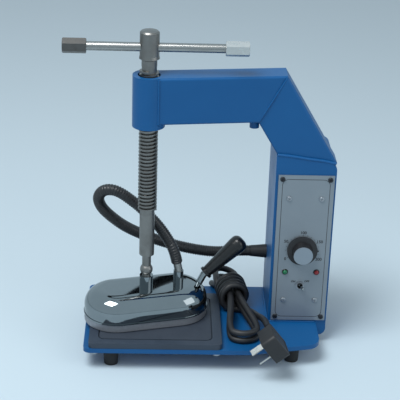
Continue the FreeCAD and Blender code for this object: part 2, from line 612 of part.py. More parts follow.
# Tommy bar with a hexagonal cap pressed on each end
BAR_LEFT = "(bar_shift - bar_long / 2)"
BAR_ROD = "(bar_long - 2 * (cap_long - cap_bore_deep))"
keep("tommy_bar", rod("bar_rod", "bar_dia", BAR_ROD),
     "%s + cap_long - cap_bore_deep" % BAR_LEFT, "0", "bar_hole_z", BACK, "90")


def bar_cap(name, x, angle):
    """A hexagonal cap, closed at its own Z = 0, with the bar's end in its bore."""
    corner = "(cap_across / 2 / cos(30deg))"
    hexagon = [("%s * cos(%ddeg)" % (corner, turn), "%s * sin(%ddeg)" % (corner, turn))
               for turn in range(0, 360, 60)]
    body = extruded(name + "_hexagon", "XY_Plane", hexagon, "cap_long")
    cone = turned(name + "_cone", [
        ("0", "0"), ("cap_across / 2", "0"), ("%s" % corner, "cap_chamfer"),
        ("%s" % corner, "cap_long - cap_chamfer"), ("cap_across / 2", "cap_long"),
        ("0", "cap_long")])
    bevelled = doc.addObject("Part::Common", name + "_bevelled")
    bevelled.Base = body
    bevelled.Tool = cone
    bore = put(rod(name + "_bore", "bar_dia", "cap_bore_deep"), "0", "0",
               "cap_long - cap_bore_deep")
    keep(name, less(name + "_bored", bevelled, bore), x, "0", "bar_hole_z", BACK, angle)


bar_cap("bar_cap_left", BAR_LEFT, "90")
bar_cap("bar_cap_right", "%s + bar_long" % BAR_LEFT, "-90")


# Iron: a cast sole under a pressed dome, both with half-round ends
def on_iron(name, thing, along="0", side="0", up="0"):
    """Place a piece by its distance along the iron's long axis and to its side."""
    turn_x = "((%s) * cos(iron_yaw * 1deg) - (%s) * sin(iron_yaw * 1deg))" % (along, side)
    turn_y = "((%s) * sin(iron_yaw * 1deg) + (%s) * cos(iron_yaw * 1deg))" % (along, side)
    return keep(name, thing, turn_x, turn_y, up, UP, "iron_yaw")


def height_is(height):
    return lambda edge: abs(edge.BoundBox.ZMin - height) < 0.01 > abs(
        edge.BoundBox.ZMax - height)


clamp_spots = [("%s (clamp_screw_span / 2)" % side, "%s (clamp_screw_gap / 2)" % lean)
               for side in "-+" for lean in "-+"]


def clamp_holes(prefix, height, up):
    return [put(rod("%s_%d" % (prefix, index), "clamp_screw_dia", height), x, y, up)
            for index, (x, y) in enumerate(clamp_spots)]


sole_blank = stadium("sole_blank", "iron_long", "iron_wide", "sole_tall")
rounded(sole_blank, "sole_edge", height_is(0))
CLAMP_LONG = "(heater_long + clamp_margin)"
CLAMP_WIDE = "(heater_wide - clamp_margin)"
sole_pocket = put(box("sole_pocket_cut", "%s + clamp_margin" % CLAMP_LONG,
                      "heater_wide + clamp_margin", "sole_pocket"),
                  "-(%s + clamp_margin) / 2" % CLAMP_LONG,
                  "-(heater_wide + clamp_margin) / 2", "sole_tall - sole_pocket")
on_iron("iron_sole", less("sole_cut", sole_blank, sole_pocket, *clamp_holes(
    "sole_thread", "clamp_screw_grip", "sole_tall - sole_pocket - clamp_screw_grip")),
    up=SOLE_LOW)

POCKET_FLOOR = "(%s - sole_pocket)" % SOLE_TOP
CLAMP_LOW = "(%s + heater_thick)" % POCKET_FLOOR
CLAMP_TOP = "(%s + clamp_thick)" % CLAMP_LOW
heater = put(box("heater_plate", "heater_long", "heater_wide", "heater_thick"),
             "-heater_long / 2", "-heater_wide / 2", "0")
on_iron("heating_element", less("heater_cut", heater, *clamp_holes(
    "heater_hole", "heater_thick", "0")), up=POCKET_FLOOR)
clamp = put(box("clamp_blank", CLAMP_LONG, CLAMP_WIDE, "clamp_thick"),
            "-%s / 2" % CLAMP_LONG, "-%s / 2" % CLAMP_WIDE, "0")
on_iron("clamp_plate", less("clamp_cut", clamp, *clamp_holes(
    "clamp_hole", "clamp_thick", "0")), up=CLAMP_LOW)
clamp_screws = [turned("clamp_screw_%d" % index, [
    ("0", "-clamp_thick - heater_thick - clamp_screw_grip"),
    ("clamp_screw_dia / 2", "-clamp_thick - heater_thick - clamp_screw_grip"),
    ("clamp_screw_dia / 2", "0"), ("clamp_screw_head / 2", "0"),
    ("clamp_screw_head / 2", "clamp_screw_head_tall"), ("0", "clamp_screw_head_tall")])
    for index in range(4)]
for screw, (x, y) in zip(clamp_screws, clamp_spots):
    put(screw, x, y, "0")
on_iron("clamp_screws", together("clamp_screw_set", *clamp_screws), up=CLAMP_TOP)
bulb = put(rod("bulb_tube", "bulb_dia", "bulb_long"), "-bulb_long / 2", "0",
           "bulb_dia / 2", BACK, "90")
on_iron("sensor_bulb", together("bulb_set", bulb), side="bulb_side", up=CLAMP_TOP)

# Handle: a bent rod out of the dome, a bolster and a tapered grip
BEND = ("bend_along", "0", "dome_tall + bend_up")
ROD_HIGH = "(bolster_from + bolster_thick + grip_bore_deep)"


def lean(thing, start, rise):
    """Stand a piece on the rod's slope, a distance past the bend."""
    x = "%s + (%s) * cos(%s * 1deg)" % (BEND[0], start, rise)
    z = "%s + (%s) * sin(%s * 1deg)" % (BEND[2], start, rise)
    return put(thing, x, "0", z, BACK, "90 - %s" % rise)


def leaning(name, diameter, length, start, rise):
    """A rod in the iron's long upright plane, that starts along its own slope."""
    return lean(rod(name, diameter, length), start, rise)


def handle_rod(prefix):
    """The bent rod: two straight runs and a ball where they meet."""
    low = leaning(prefix + "_low", "rod_dia", "rod_low", "-rod_low", "rod_rise")
    high = leaning(prefix + "_high", "rod_dia", ROD_HIGH, "0", "grip_rise")
    knee = put(bind(doc.addObject("Part::Sphere", prefix + "_knee"),
                    Radius="rod_dia / 2"), *BEND)
    return fused(prefix, low, high, knee)


on_iron("handle_rod", handle_rod("handle"), up=SOLE_TOP)
bolster = turned("bolster_ring", [
    ("rod_dia / 2", "0"), ("bolster_dia / 2", "0"), ("bolster_dia / 2", "bolster_thick"),
    ("rod_dia / 2", "bolster_thick")])
on_iron("handle_bolster", together("bolster_set", lean(bolster, "bolster_from", "grip_rise")),
        up=SOLE_TOP)
grip = turned("grip_turned", [
    ("rod_dia / 2", "0"), ("grip_small / 2", "0"), ("grip_big / 2", "grip_long * 0.8"),
    ("grip_big / 2", "grip_long"), ("0", "grip_long"), ("0", "grip_bore_deep"),
    ("rod_dia / 2", "grip_bore_deep")])
rounded(grip, "grip_end_round", height_is(value("grip_long")))
on_iron("handle_grip", together("grip_set", lean(grip, "bolster_from + bolster_thick",
                                                 "grip_rise")), up=SOLE_TOP)

# Dome, with its rim lip and the holes for socket, gland and handle
dome_blank = stadium("dome_blank", "iron_long", "iron_wide", "dome_tall")
rounded(dome_blank, "dome_round", height_is(value("dome_tall")))
dome_rim = stadium("dome_rim", "(iron_long + 2 * dome_lip)", "(iron_wide + 2 * dome_lip)",
                   "dome_lip_tall")
dome_room = stadium("dome_room", "(iron_long - 2 * dome_wall)",
                    "(iron_wide - 2 * dome_wall)", "dome_tall - dome_wall")
rounded(dome_room, "dome_round - dome_wall", height_is(value("dome_tall - dome_wall")))
stem_hole = rod("stem_hole", "socket_stem_dia", "dome_tall + dome_wall")
gland_hole = put(rod("gland_hole_cut", "gland_hole", "dome_tall + dome_wall"),
                 "gland_along")
on_iron("iron_dome", less("dome_cut", fused("dome_solid", dome_blank, dome_rim), dome_room,
                          stem_hole, gland_hole, handle_rod("handle_hole")), up=SOLE_TOP)

# Ball socket on its stem, the thrust pad in it, and the two pins in the pivot's groove
STEM_LOW = "(%s - %s)" % (CLAMP_TOP, DOME_TOP)
SOCKET_BORE = "(pivot_dia / 2 + fit_gap)"
PIN_UP = "(%s + pivot_groove_tall / 2 - %s)" % (GROOVE_LOW, DOME_TOP)
PIN_REACH = "(pivot_dia / 2 - pivot_groove + pin_gap)"
socket = turned("socket_turned", [
    ("0", STEM_LOW), ("socket_stem_dia / 2", STEM_LOW), ("socket_stem_dia / 2", "0"),
    ("socket_dia / 2", "0"), ("socket_dia / 2", "socket_tall"),
    (SOCKET_BORE, "socket_tall"), (SOCKET_BORE, "socket_floor"), ("0", "socket_floor")])
pins = []
pin_holes = []
for side, angle in (("", "90"), ("-", "-90")):
    for group, label in ((pins, "pin"), (pin_holes, "pin_hole")):
        group.append(put(rod("%s_%s" % (label, "right" if side == "" else "left"),
                             "pin_dia", "socket_dia / 2 - %s" % PIN_REACH),
                         "%s%s" % (side, PIN_REACH), "0", PIN_UP, BACK, angle))
on_iron("ball_socket", less("socket_cut", socket, *pin_holes), up=DOME_TOP)
on_iron("socket_pins", together("pin_set", *pins), up=DOME_TOP)
keep("thrust_pad", rod("thrust_disc", "pivot_dia", "thrust_thick"), "0", "0",
     "%s + thrust_gap" % SOCKET_BOTTOM)

# Gland socket on the dome, and the hose's ferrule, which leans over to the left
on_iron("gland_socket", turned("gland_turned", [
    ("ferrule_dia / 2", "0"), ("gland_dia / 2", "0"), ("gland_dia / 2", "gland_tall"),
    ("ferrule_dia / 2", "gland_tall")]), along="gland_along", up=DOME_TOP)
GLAND_X = "(gland_along * cos(iron_yaw * 1deg))"
GLAND_Y = "(gland_along * sin(iron_yaw * 1deg))"
KNEE_UP = "(%s + gland_tall + ferrule_knee)" % DOME_TOP
ferrule_low = put(rod("ferrule_low", "ferrule_dia", "ferrule_seat + ferrule_knee"), "0", "0",
                  "-ferrule_seat - ferrule_knee")
ferrule_high = put(rod("ferrule_high", "ferrule_dia", "ferrule_long"), "0", "0", "0",
                   BACK, "-ferrule_lean")
ferrule_knee = bind(doc.addObject("Part::Sphere", "ferrule_knee"), Radius="ferrule_dia / 2")
keep("hose_ferrule", fused("ferrule_solid", ferrule_low, ferrule_high, ferrule_knee),
     GLAND_X, GLAND_Y, KNEE_UP)

# Front panel with its screws and the brackets behind the column's wall
panel = put(box("panel_blank", "panel_wide", "panel_thick", "panel_tall"),
            "%s - panel_wide / 2" % PANEL_X, PANEL_FACE, "panel_low")
keep("front_panel", less("panel_cut", panel, *front_holes("panel")))


def panel_screws(name, spots, grip):
    made = [pan_screw("%s_%d" % (name, index), "panel_screw_dia", grip, "panel_screw_head",
                      "panel_screw_head_tall", x, PANEL_FACE, z, ACROSS, "-90")
            for index, (x, z) in enumerate(spots)]
    keep(name, together(name + "_set", *made))


panel_screws("panel_corner_screws", panel_corners, "%s + panel_screw_grip" % WALL_IN)
panel_screws("panel_fixing_screws", bracket_spots,
             "%s + sheet_thick + panel_screw_grip" % WALL_IN)
INSIDE = "(sheet_thick - column_front)"
bracket_parts = []
for label, z in (("low", "bracket_low"), ("high", "bracket_high")):
    bracket_parts.append(put(
        box("bracket_%s" % label, "bracket_wide", "sheet_thick", "bracket_tall"),
        "%s - bracket_wide / 2" % PANEL_X, INSIDE, "%s - bracket_tall / 2" % z))
shelf = put(box("bracket_shelf_plate", "bracket_wide", "bracket_shelf", "sheet_thick"),
            "%s - bracket_wide / 2" % PANEL_X, INSIDE, "bracket_low - bracket_tall / 2")
bracket_holes = [front_hole("bracket_hole_%d" % index, "panel_screw_dia", x, z,
                            "%s + 2 * sheet_thick" % WALL_IN)
                 for index, (x, z) in enumerate(bracket_spots)]
keep("chassis_brackets", less("bracket_cut", fused("bracket_solid", shelf, *bracket_parts),
                              *bracket_holes))
SHELF_TOP = "(bracket_low - bracket_tall / 2 + sheet_thick)"
keep("terminal_block", box("terminal_body", "terminal_wide", "terminal_deep",
                           "terminal_tall"),
     "%s - terminal_wide / 2" % PANEL_X, "%s + bracket_shelf - terminal_deep" % INSIDE,
     SHELF_TOP)


# Thermostat, spindle, knob, its cap and its grub screw
def facing(name, thing, x, z, out="0"):
    """Set a piece on the panel, its own Z axis pointing out to the front."""
    return keep(name, thing, x, "%s - (%s)" % (PANEL_FACE, out), z, ACROSS, "90")


SPINDLE_BORE = "(spindle_dia / 2 + fit_gap)"
KNOB_FLOOR = "(knob_tall - knob_bore_deep)"
facing("thermostat", turned("thermostat_turned", [
    (SPINDLE_BORE, "bush_out"), (SPINDLE_BORE, "-%s - spindle_in" % WALL_IN),
    ("0", "-%s - spindle_in" % WALL_IN), ("0", "-%s - thermostat_deep" % WALL_IN),
    ("thermostat_dia / 2", "-%s - thermostat_deep" % WALL_IN),
    ("thermostat_dia / 2", "-%s" % WALL_IN), ("bush_dia / 2", "-%s" % WALL_IN),
    ("bush_dia / 2", "bush_out")]), PANEL_X, "knob_z")
SPINDLE_LOW = "(%s + spindle_in - fit_gap)" % WALL_IN
facing("thermostat_spindle", rod("spindle_rod", "spindle_dia",
                                 "%s + %s" % (SPINDLE_LOW, KNOB_FLOOR)),
       PANEL_X, "knob_z", "-%s" % SPINDLE_LOW)
knob = turned("knob_turned", [
    ("spindle_dia / 2", "knob_clear"), ("knob_dia / 2", "knob_clear"),
    ("knob_dia / 2", "knob_skirt"), ("knob_grip_dia / 2", "knob_skirt + knob_clear"),
    ("knob_tip_dia / 2", "knob_tall"), ("0", "knob_tall"), ("0", KNOB_FLOOR),
    ("spindle_dia / 2", KNOB_FLOOR)])
grub_hole = put(rod("grub_hole", "grub_dia", "knob_dia"), "0", "0",
                "knob_tall - grub_from_top", ACROSS, "90")
facing("knob_body", less("knob_cut", knob, grub_hole), PANEL_X, "knob_z")
facing("knob_cap", rod("cap_disc", "knob_cap_dia", "knob_cap_thick"), PANEL_X, "knob_z",
       "knob_tall")
grub = put(rod("grub_rod", "grub_dia", "knob_tip_dia / 2 - spindle_dia / 2 - knob_clear"),
           "0", "-spindle_dia / 2", "knob_tall - grub_from_top", ACROSS, "90")
facing("knob_grub_screw", together("grub_set", grub), PANEL_X, "knob_z")

# Pilot lamps and their holders
holders = []
for name, x in lamp_spots.items():
    lens = turned(name + "_lens", [
        ("0", "-%s - lamp_in" % WALL_IN), ("lamp_dia / 2", "-%s - lamp_in" % WALL_IN),
        ("lamp_dia / 2", "lamp_out"), ("0", "lamp_out")])
    rounded(lens, "lamp_dia / 3", height_is(value("lamp_out")))
    facing(name, lens, x, "lamp_z")
    holder = turned(name + "_holder", [
        ("lamp_dia / 2", "-%s" % WALL_IN), ("lamp_dia / 2", "-%s - lamp_in" % WALL_IN),
        ("0", "-%s - lamp_in" % WALL_IN), ("0", "-%s - lamp_holder_deep" % WALL_IN),
        ("lamp_holder_dia / 2", "-%s - lamp_holder_deep" % WALL_IN),
        ("lamp_holder_dia / 2", "-%s" % WALL_IN)])
    holders.append(put(holder, x, PANEL_FACE, "lamp_z", ACROSS, "90"))
keep("lamp_holders", together("holder_set", *holders))

# Toggle switch: case and bush, ring nut, and a lever on a ball in the bush
TOGGLE_BORE = "(toggle_bush / 2 - toggle_bush_wall)"
bush = turned("toggle_bush_turned", [
    ("0", "-%s - toggle_case_deep / 2" % WALL_IN),
    ("toggle_bush / 2", "-%s - toggle_case_deep / 2" % WALL_IN),
    ("toggle_bush / 2", "toggle_bush_out"), (TOGGLE_BORE, "toggle_bush_out"),
    (TOGGLE_BORE, "-%s" % WALL_IN), ("0", "-%s" % WALL_IN)])
case = put(box("toggle_case", "toggle_case_wide", "toggle_case_tall", "toggle_case_deep"),
           "-toggle_case_wide / 2", "-toggle_case_tall / 2",
           "-%s - toggle_case_deep" % WALL_IN)
facing("toggle_body", fused("toggle_solid", case, bush), PANEL_X, "toggle_z")
facing("toggle_nut", turned("toggle_ring", [
    ("toggle_bush / 2", "0"), ("toggle_nut / 2", "0"), ("toggle_nut / 2", "toggle_nut_thick"),
    ("toggle_bush / 2", "toggle_nut_thick")]), PANEL_X, "toggle_z")
LEVER_BALL = "(%s - fit_gap)" % TOGGLE_BORE
lever_ball = bind(doc.addObject("Part::Sphere", "lever_ball"), Radius=LEVER_BALL)
lever_stem = turned("lever_stem", [
    ("0", "0"), ("toggle_lever_dia / 2", "0"), ("toggle_tip_dia / 2", "toggle_lever * 0.8"),
    ("toggle_tip_dia / 2", "toggle_lever"), ("0", "toggle_lever")])
rounded(lever_stem, "toggle_tip_dia / 4", height_is(value("toggle_lever")))
put(lever_stem, "0", "0", "0", BACK, "toggle_tilt")
facing("toggle_lever", fused("lever_solid", lever_ball, lever_stem), PANEL_X, "toggle_z",
       "toggle_pivot")


# Cords and hose: straight runs joined by tangent arcs
def corner_arcs(points, label):
    """The arc at each inner point of a route, as large as its two runs allow."""
    arcs = []
    for before, here, after in zip(points, points[1:], points[2:]):
        arrive = here - before
        leave = after - here
        turn = arrive.getAngle(leave)
        radius = 0.45 * min(arrive.Length, leave.Length) / math.tan(turn / 2)
        cut = radius * math.tan(turn / 2)
        arrive.normalize()
        leave.normalize()
        start = here - arrive * cut
        end = here + leave * cut
        toward = leave - arrive
        toward.normalize()
        middle = here + toward * (radius / math.cos(turn / 2) - radius)
        arcs.append((start, middle, end, radius))
    radii = " ".join("%.0f" % arc[3] for arc in arcs)
    print(label, "radii", radii)
    return arcs


def ring(at, along, radius):
    return Part.Wire(Part.Circle(at, along, radius).toShape())


def point_on(path, along):
    """The place and direction at a distance along a route."""
    left = along
    for edge in path.Edges:
        if left <= edge.Length or edge.isSame(path.Edges[-1]):
            spot = edge.getParameterByLength(min(left, edge.Length))
            return edge.valueAt(spot), edge.tangentAt(spot)
        left -= edge.Length
    return None


def swept(name, path, diameter):
    """A plain tube along a path, square at both ends."""
    start, along = point_on(path, 0)
    solid = path.makePipeShell([ring(start, along, diameter / 2)], True, False)
    wanted = math.pi * diameter ** 2 / 4 * path.Length
    print(name, "length %.0f, volume %.4f of its section times length"
          % (path.Length, abs(solid.Volume) / wanted))
    made = doc.addObject("Part::Feature", name + "_tube")
    made.Shape = solid
    keep(name, made)


def route_parts(label, sections):
    """Paths along one route, each next section starting halfway along a run."""
    points = [point for name, rows in sections for point in rows]
    arcs = corner_arcs(points, label)
    last = points[0]
    done = 0
    paths = {}
    for name, rows in sections:
        edges = []
        inner = arcs[:len(rows) if done else len(rows) - 1]
        arcs = arcs[len(inner):]
        done += len(rows)
        for begin, middle, end, radius in inner:
            edges.append(Part.LineSegment(last, begin).toShape())
            edges.append(Part.Arc(begin, middle, end).toShape())
            last = end
        finish = (points[done - 1] + points[done]) * 0.5 if arcs else points[-1]
        edges.append(Part.LineSegment(last, finish).toShape())
        last = finish
        paths[name] = Part.Wire(edges)
    return paths


def spots(rows):
    return [V(*row) for row in rows]


# Hose, from the column's grommet round a standing loop to the ferrule on the iron
grommet = turned("grommet_turned", [
    ("hose_bore / 2", "-2 * sheet_thick"), ("grommet_hole / 2 + 1.5", "-2 * sheet_thick"),
    ("grommet_hole / 2 + 1.5", "-sheet_thick"), ("grommet_hole / 2", "-sheet_thick"),
    ("grommet_hole / 2", "0"), ("grommet_dia / 2", "0"), ("hose_dia / 2", "grommet_long"),
    ("hose_bore / 2", "grommet_long")])
keep("hose_grommet", grommet, "column_left", "grommet_y", "grommet_z", BACK, "-90")

lean_angle = math.radians(value("ferrule_lean"))
ferrule_run = V(-math.sin(lean_angle), 0, math.cos(lean_angle))
ferrule_tip = (V(value(GLAND_X), value(GLAND_Y), value(KNEE_UP))
               + ferrule_run * value("ferrule_long"))
hose_start = V(value("column_left - grommet_long"), value("grommet_y"),
               value("grommet_z"))
HOSE_LOW = spots([
    (98, 62, 80), (78, 60, 78.5), (56, 58.5, 81.5), (34, 55.5, 87.5), (13, 53, 95),
    (-7, 50.5, 104), (-25.5, 48, 114.5), (-40.5, 46, 127.3), (-50.8, 43, 139.5),
    (-54.2, 38, 153.2), (-48.5, 31.5, 164.3), (-38.5, 27, 167.8), (-27.7, 25, 164.2),
    (-16.7, 23.8, 156.2), (-7.5, 22.8, 149.3)])
HOSE_HIGH = spots([(11.9, 19.2, 130), (22, 15.6, 116.4)])
hose = route_parts("power hose", [
    ("power_hose", [hose_start] + HOSE_LOW),
    ("hose_end", HOSE_HIGH + [ferrule_tip + ferrule_run * 14, ferrule_tip])])


def ribbed(name, path):
    """A ribbed hose with its bore: a ruled loft through four rings for each rib."""
    length = path.Length
    outer = value("hose_dia") / 2
    valley = outer - value("hose_rib")
    plain = value("hose_dia") / 2
    count = int((length - 2 * plain) / value("hose_pitch"))
    step = (length - 2 * plain) / count
    stations = [(0, valley)]
    for index in range(count):
        begin = plain + index * step
        stations += [(begin, valley), (begin + 0.2 * step, outer),
                     (begin + 0.55 * step, outer), (begin + 0.75 * step, valley)]
    stations.append((length, valley))
    rings = []
    side = BACK
    for along, radius in stations:
        at, run = point_on(path, along)
        side = side - run * side.dot(run)
        side.normalize()
        frame = FreeCAD.Placement(at, FreeCAD.Rotation(side, run.cross(side), run, "XYZ"))
        circle = Part.makeCircle(radius)
        circle.Placement = frame
        rings.append(Part.Wire(circle))
    skin = Part.makeLoft(rings, False, True)
    bore = path.makePipeShell([ring(*point_on(path, 0), value("hose_bore") / 2)],
                              False, False)
    ends = []
    for at, run in (point_on(path, 0), point_on(path, length)):
        ends.append(Part.Face([ring(at, run, valley), ring(at, run, value("hose_bore") / 2)],
                              "Part::FaceMakerBullseye"))
    shell = Part.Shell(skin.Faces + bore.Faces + ends)
    shell.sewShape()
    solid = Part.Solid(shell)
    made = doc.addObject("Part::Feature", name + "_ribbed")
    made.Shape = solid
    print(name, "ribs", count, "length %.0f" % length,
          "volume %.3f of its plain wall" % (made.Shape.Volume / length / math.pi
                                             / (valley ** 2 - value("hose_bore") ** 2 / 4)))
    return made


for name, path in hose.items():
    keep(name, ribbed(name, path))

# Mains cord: relief on the rear cover, down to the floor behind the column, and up to the
# hank that lies on the base
CORD = value("cord_dia")
keep("mains_strain_relief", turned("relief_turned", [
    ("0", "-2 * cover_thick"), ("relief_flange / 2", "-2 * cover_thick"),
    ("relief_flange / 2", "-cover_thick"), ("relief_hole / 2", "-cover_thick"),
    ("relief_hole / 2", "0"), ("relief_big / 2", "0"), ("relief_big / 2", "cover_thick"),
    ("relief_small / 2", "relief_long"), ("0", "relief_long")]),
     RELIEF_X, COVER_FACE, "relief_z", ACROSS, "-90")
cord_start = V(value(RELIEF_X), value(COVER_FACE + " + relief_long"), value("relief_z"))

# The hank's own frame: v runs from its front end to its rear end, u to its right
HANK_FRONT = V(107, -50, value(BASE_TOP) + CORD / 2)
HANK_REAR = V(89, 84, value(BASE_TOP) + CORD / 2)
hank_run = HANK_REAR - HANK_FRONT
hank_long = hank_run.Length
hank_run.normalize()
hank_side = hank_run.cross(UP)
layer = value("cord_dia + cord_gap")
tie_radius = value("wrap_radius")
tie_front = value("hank_tie_front")
tie_rear = value("hank_tie_rear")


def on_hank(u, v, z):
    return HANK_FRONT + hank_side * u + hank_run * v + UP * z


def waist(side, level, backwards):
    """One strand through the tie, drawn in beside and over the others."""
    u = side * layer / 2
    z = tie_radius + (level - 0.5) * layer
    ends = [(u, tie_front, z), (u, tie_rear, z)]
    return ends if backwards else ends[::-1]


def bight(end, inward, radius, side, low, high):
    """A half turn round one end of the hank, that climbs from one height to another."""
    reach = radius * math.tan(math.pi / 8)
    corners = [(radius, radius - reach, 0.3), (reach, 0, 0.6), (-reach, 0, 0.9),
               (-radius, radius - reach, 1)]
    return [(side * u, end + inward * v, low + (high - low) * climb)
            for u, v, climb in corners]


front_radius = value("hank_wide_front") / 2
rear_radius = value("hank_wide_rear") / 2
hank_rows = [(-rear_radius, hank_long - rear_radius / 2, 0)]
for level in (0, 1):
    z = level * layer
    hank_rows += waist(-1, level, False) + bight(0, 1, front_radius, -1, z, z)
    hank_rows += waist(1, level, True)
    hank_rows += bight(hank_long, -1, rear_radius, 1, z, z + layer * (1 + level * 0.35))

# Wraps: turns round the hank's waist, from the left at the rear to the bottom in front
wrap_reach = tie_radius / math.cos(math.pi / 8)
wrap_rear = tie_rear - 5
wrap_rows = [(-wrap_reach * math.cos(math.pi / 8), wrap_rear + 1, tie_radius + 5)]
for index in range(int(value("wrap_turns") * 8) + 2):
    turn = math.pi * 9 / 8 + index * math.pi / 4
    wrap_rows.append((wrap_reach * math.cos(turn),
                      wrap_rear - index / 8 * value("wrap_pitch"),
                      tie_radius + wrap_reach * math.sin(turn)))

REAR_ROUTE = spots([
    (181, 119, 70), (180, 137, 60.5), (177.5, 147, 43), (173.5, 146, 22.5),
    (165.5, 134, 8), (153.5, 120.5, 3.5), (138, 111, 3.5), (120, 106, 3.5),
    (102, 106.5, 6), (88, 103, 12), (78, 97, 19), (74.5, 87, 25.5)])

# Plug: an angled three-pin plug that leans over the base's front edge
PLUG_MIDDLE = V(134, -78, 41.5)
plug_pins_run = V(-0.79, -0.08, -0.61)
plug_pins_run.normalize()
plug_cord_run = V(-0.1, 0.995, 0)
plug_cord_run = plug_cord_run - plug_pins_run * plug_cord_run.dot(plug_pins_run)
plug_cord_run.normalize()
plug_turn = FreeCAD.Rotation(plug_pins_run.cross(plug_cord_run), plug_cord_run,
                             plug_pins_run * -1, "XYZ")
neck_tip = PLUG_MIDDLE + plug_cord_run * value("plug_long / 2 + plug_neck_long")
TAIL_ROUTE = spots([
    (110.9, 18.6, 28.5), (118, 10.5, 29.5), (121, 0.5, 32), (122.5, -9, 35.5),
    (126, -20, 39.5)]) + [neck_tip + plug_cord_run * 12, neck_tip]
cord = route_parts("mains cord", [
    ("mains_cord_rear", [cord_start] + REAR_ROUTE),
    ("cord_hank", [on_hank(*row) for row in hank_rows]),
    ("cord_wraps", [on_hank(*row) for row in wrap_rows]),
    ("mains_cord_tail", TAIL_ROUTE)])
for name, path in cord.items():
    swept(name, path, CORD)


def on_plug(name, thing):
    thing.Label = name
    NODES[name] = thing
    turned_to = FreeCAD.Placement(PLUG_MIDDLE - V(value(ORIGIN_X), value(ORIGIN_Y), 0),
                                  plug_turn)
    thing.Placement = turned_to
    return thing


plug_block = put(soft_cornered("plug_block", "plug_wide", "plug_long", "plug_thick",
                               "plug_round"), "0", "0", "-plug_thick / 2")
plug_neck = put(rod("plug_neck", "plug_neck_dia", "plug_neck_long + plug_long / 2"),
                "0", "0", "0", ACROSS, "-90")
on_plug("plug_body", fused("plug_solid", plug_block, plug_neck))
pins = []
for index, (side, up, angle) in enumerate((("-pin_out", "-pin_spread", "30"),
                                           ("pin_out", "-pin_spread", "-30"),
                                           ("0", "pin_out", "90"))):
    blade = put(box("blade_%d" % index, "pin_thick", "pin_wide", "pin_long"),
                "-pin_thick / 2", "-pin_wide / 2", "0")
    pins.append(put(together("plug_pin_%d" % index, blade), side, up,
                    "-plug_thick / 2 - pin_long", UP, angle))
on_plug("plug_pins", together("plug_pin_set", *pins))


def marks_on(path, step=1.5):
    """Points along a route, about a step apart."""
    return [mark for edge in path.Edges
            for mark in edge.discretize(max(2, int(edge.Length / step)))]


def least_gap(path, label):
    """The least gap of a wound tube to its own turns, measured on points."""
    marks = marks_on(path)
    along = [0]
    for before, after in zip(marks, marks[1:]):
        along.append(along[-1] + (after - before).Length)
    least = min(here.distanceToPoint(there)
                for index, here in enumerate(marks)
                for there, run in zip(marks[index:], along[index:])
                if run - along[index] > 3 * CORD)
    print(label, "least gap to itself %.2f" % (least - CORD))


least_gap(cord["cord_hank"], "cord_hank")
least_gap(cord["cord_wraps"], "cord_wraps")
print("hank to wraps %.2f" % (min(
    here.distanceToPoint(there) for here in marks_on(cord["cord_hank"])[:-10]
    for there in marks_on(cord["cord_wraps"])) - CORD))

# Check every piece before any is written
doc.recompute()
for thing in doc.Objects:
    if "Invalid" in thing.State or "Error" in thing.State:
        raise RuntimeError("%s did not build: %s" % (thing.Name, thing.State))
for name, thing in NODES.items():
    if thing.Shape.isNull() or not thing.Shape.isValid():
        raise RuntimeError("%s has no valid shape" % name)

os.makedirs("parts", exist_ok=True)
for name, thing in NODES.items():
    thing.Shape.exportStep("parts/%s.step" % name)
print("%d pieces written" % len(NODES))
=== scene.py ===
import math

import bpy
from mathutils import Matrix, Vector


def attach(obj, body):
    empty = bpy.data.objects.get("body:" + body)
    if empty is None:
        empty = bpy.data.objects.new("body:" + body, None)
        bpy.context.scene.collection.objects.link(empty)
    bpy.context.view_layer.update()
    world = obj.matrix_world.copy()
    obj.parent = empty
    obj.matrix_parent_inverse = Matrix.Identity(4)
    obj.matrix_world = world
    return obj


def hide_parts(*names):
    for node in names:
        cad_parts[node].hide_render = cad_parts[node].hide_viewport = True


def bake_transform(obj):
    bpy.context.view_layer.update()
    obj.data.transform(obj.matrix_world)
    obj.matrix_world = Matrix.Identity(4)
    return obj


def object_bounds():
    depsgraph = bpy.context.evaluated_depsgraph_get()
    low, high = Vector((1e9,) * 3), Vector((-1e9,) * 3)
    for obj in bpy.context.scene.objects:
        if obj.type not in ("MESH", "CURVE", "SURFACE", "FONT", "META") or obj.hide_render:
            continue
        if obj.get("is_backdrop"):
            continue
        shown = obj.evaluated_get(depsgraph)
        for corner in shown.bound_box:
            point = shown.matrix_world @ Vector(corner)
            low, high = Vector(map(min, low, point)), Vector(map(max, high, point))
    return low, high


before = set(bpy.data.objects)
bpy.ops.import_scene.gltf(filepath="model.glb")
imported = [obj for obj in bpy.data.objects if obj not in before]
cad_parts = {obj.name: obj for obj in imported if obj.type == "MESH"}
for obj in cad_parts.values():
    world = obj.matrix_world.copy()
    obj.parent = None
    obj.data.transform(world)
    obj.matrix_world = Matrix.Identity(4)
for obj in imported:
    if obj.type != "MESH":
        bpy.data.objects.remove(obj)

cad_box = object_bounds()

# The room: a plain pale floor, two soft lamps, and a camera above and in front of the
# press, tilted down and a little askew, as the photograph was taken.
ORIGIN_X, ORIGIN_Y = 55.25, 7.1


def at(x, y, z):
    """A point of the part's drawing, in millimetres, as metres in the frame."""
    return Vector(((x - ORIGIN_X) / 1000, (y - ORIGIN_Y) / 1000, z / 1000))


def paint(code):
    """An sRGB hex value as the linear colour that a shader socket takes."""
    shares = [int(code[place:place + 2], 16) / 255 for place in (1, 3, 5)]
    return [share / 12.92 if share <= 0.04045 else ((share + 0.055) / 1.055) ** 2.4
            for share in shares] + [1]


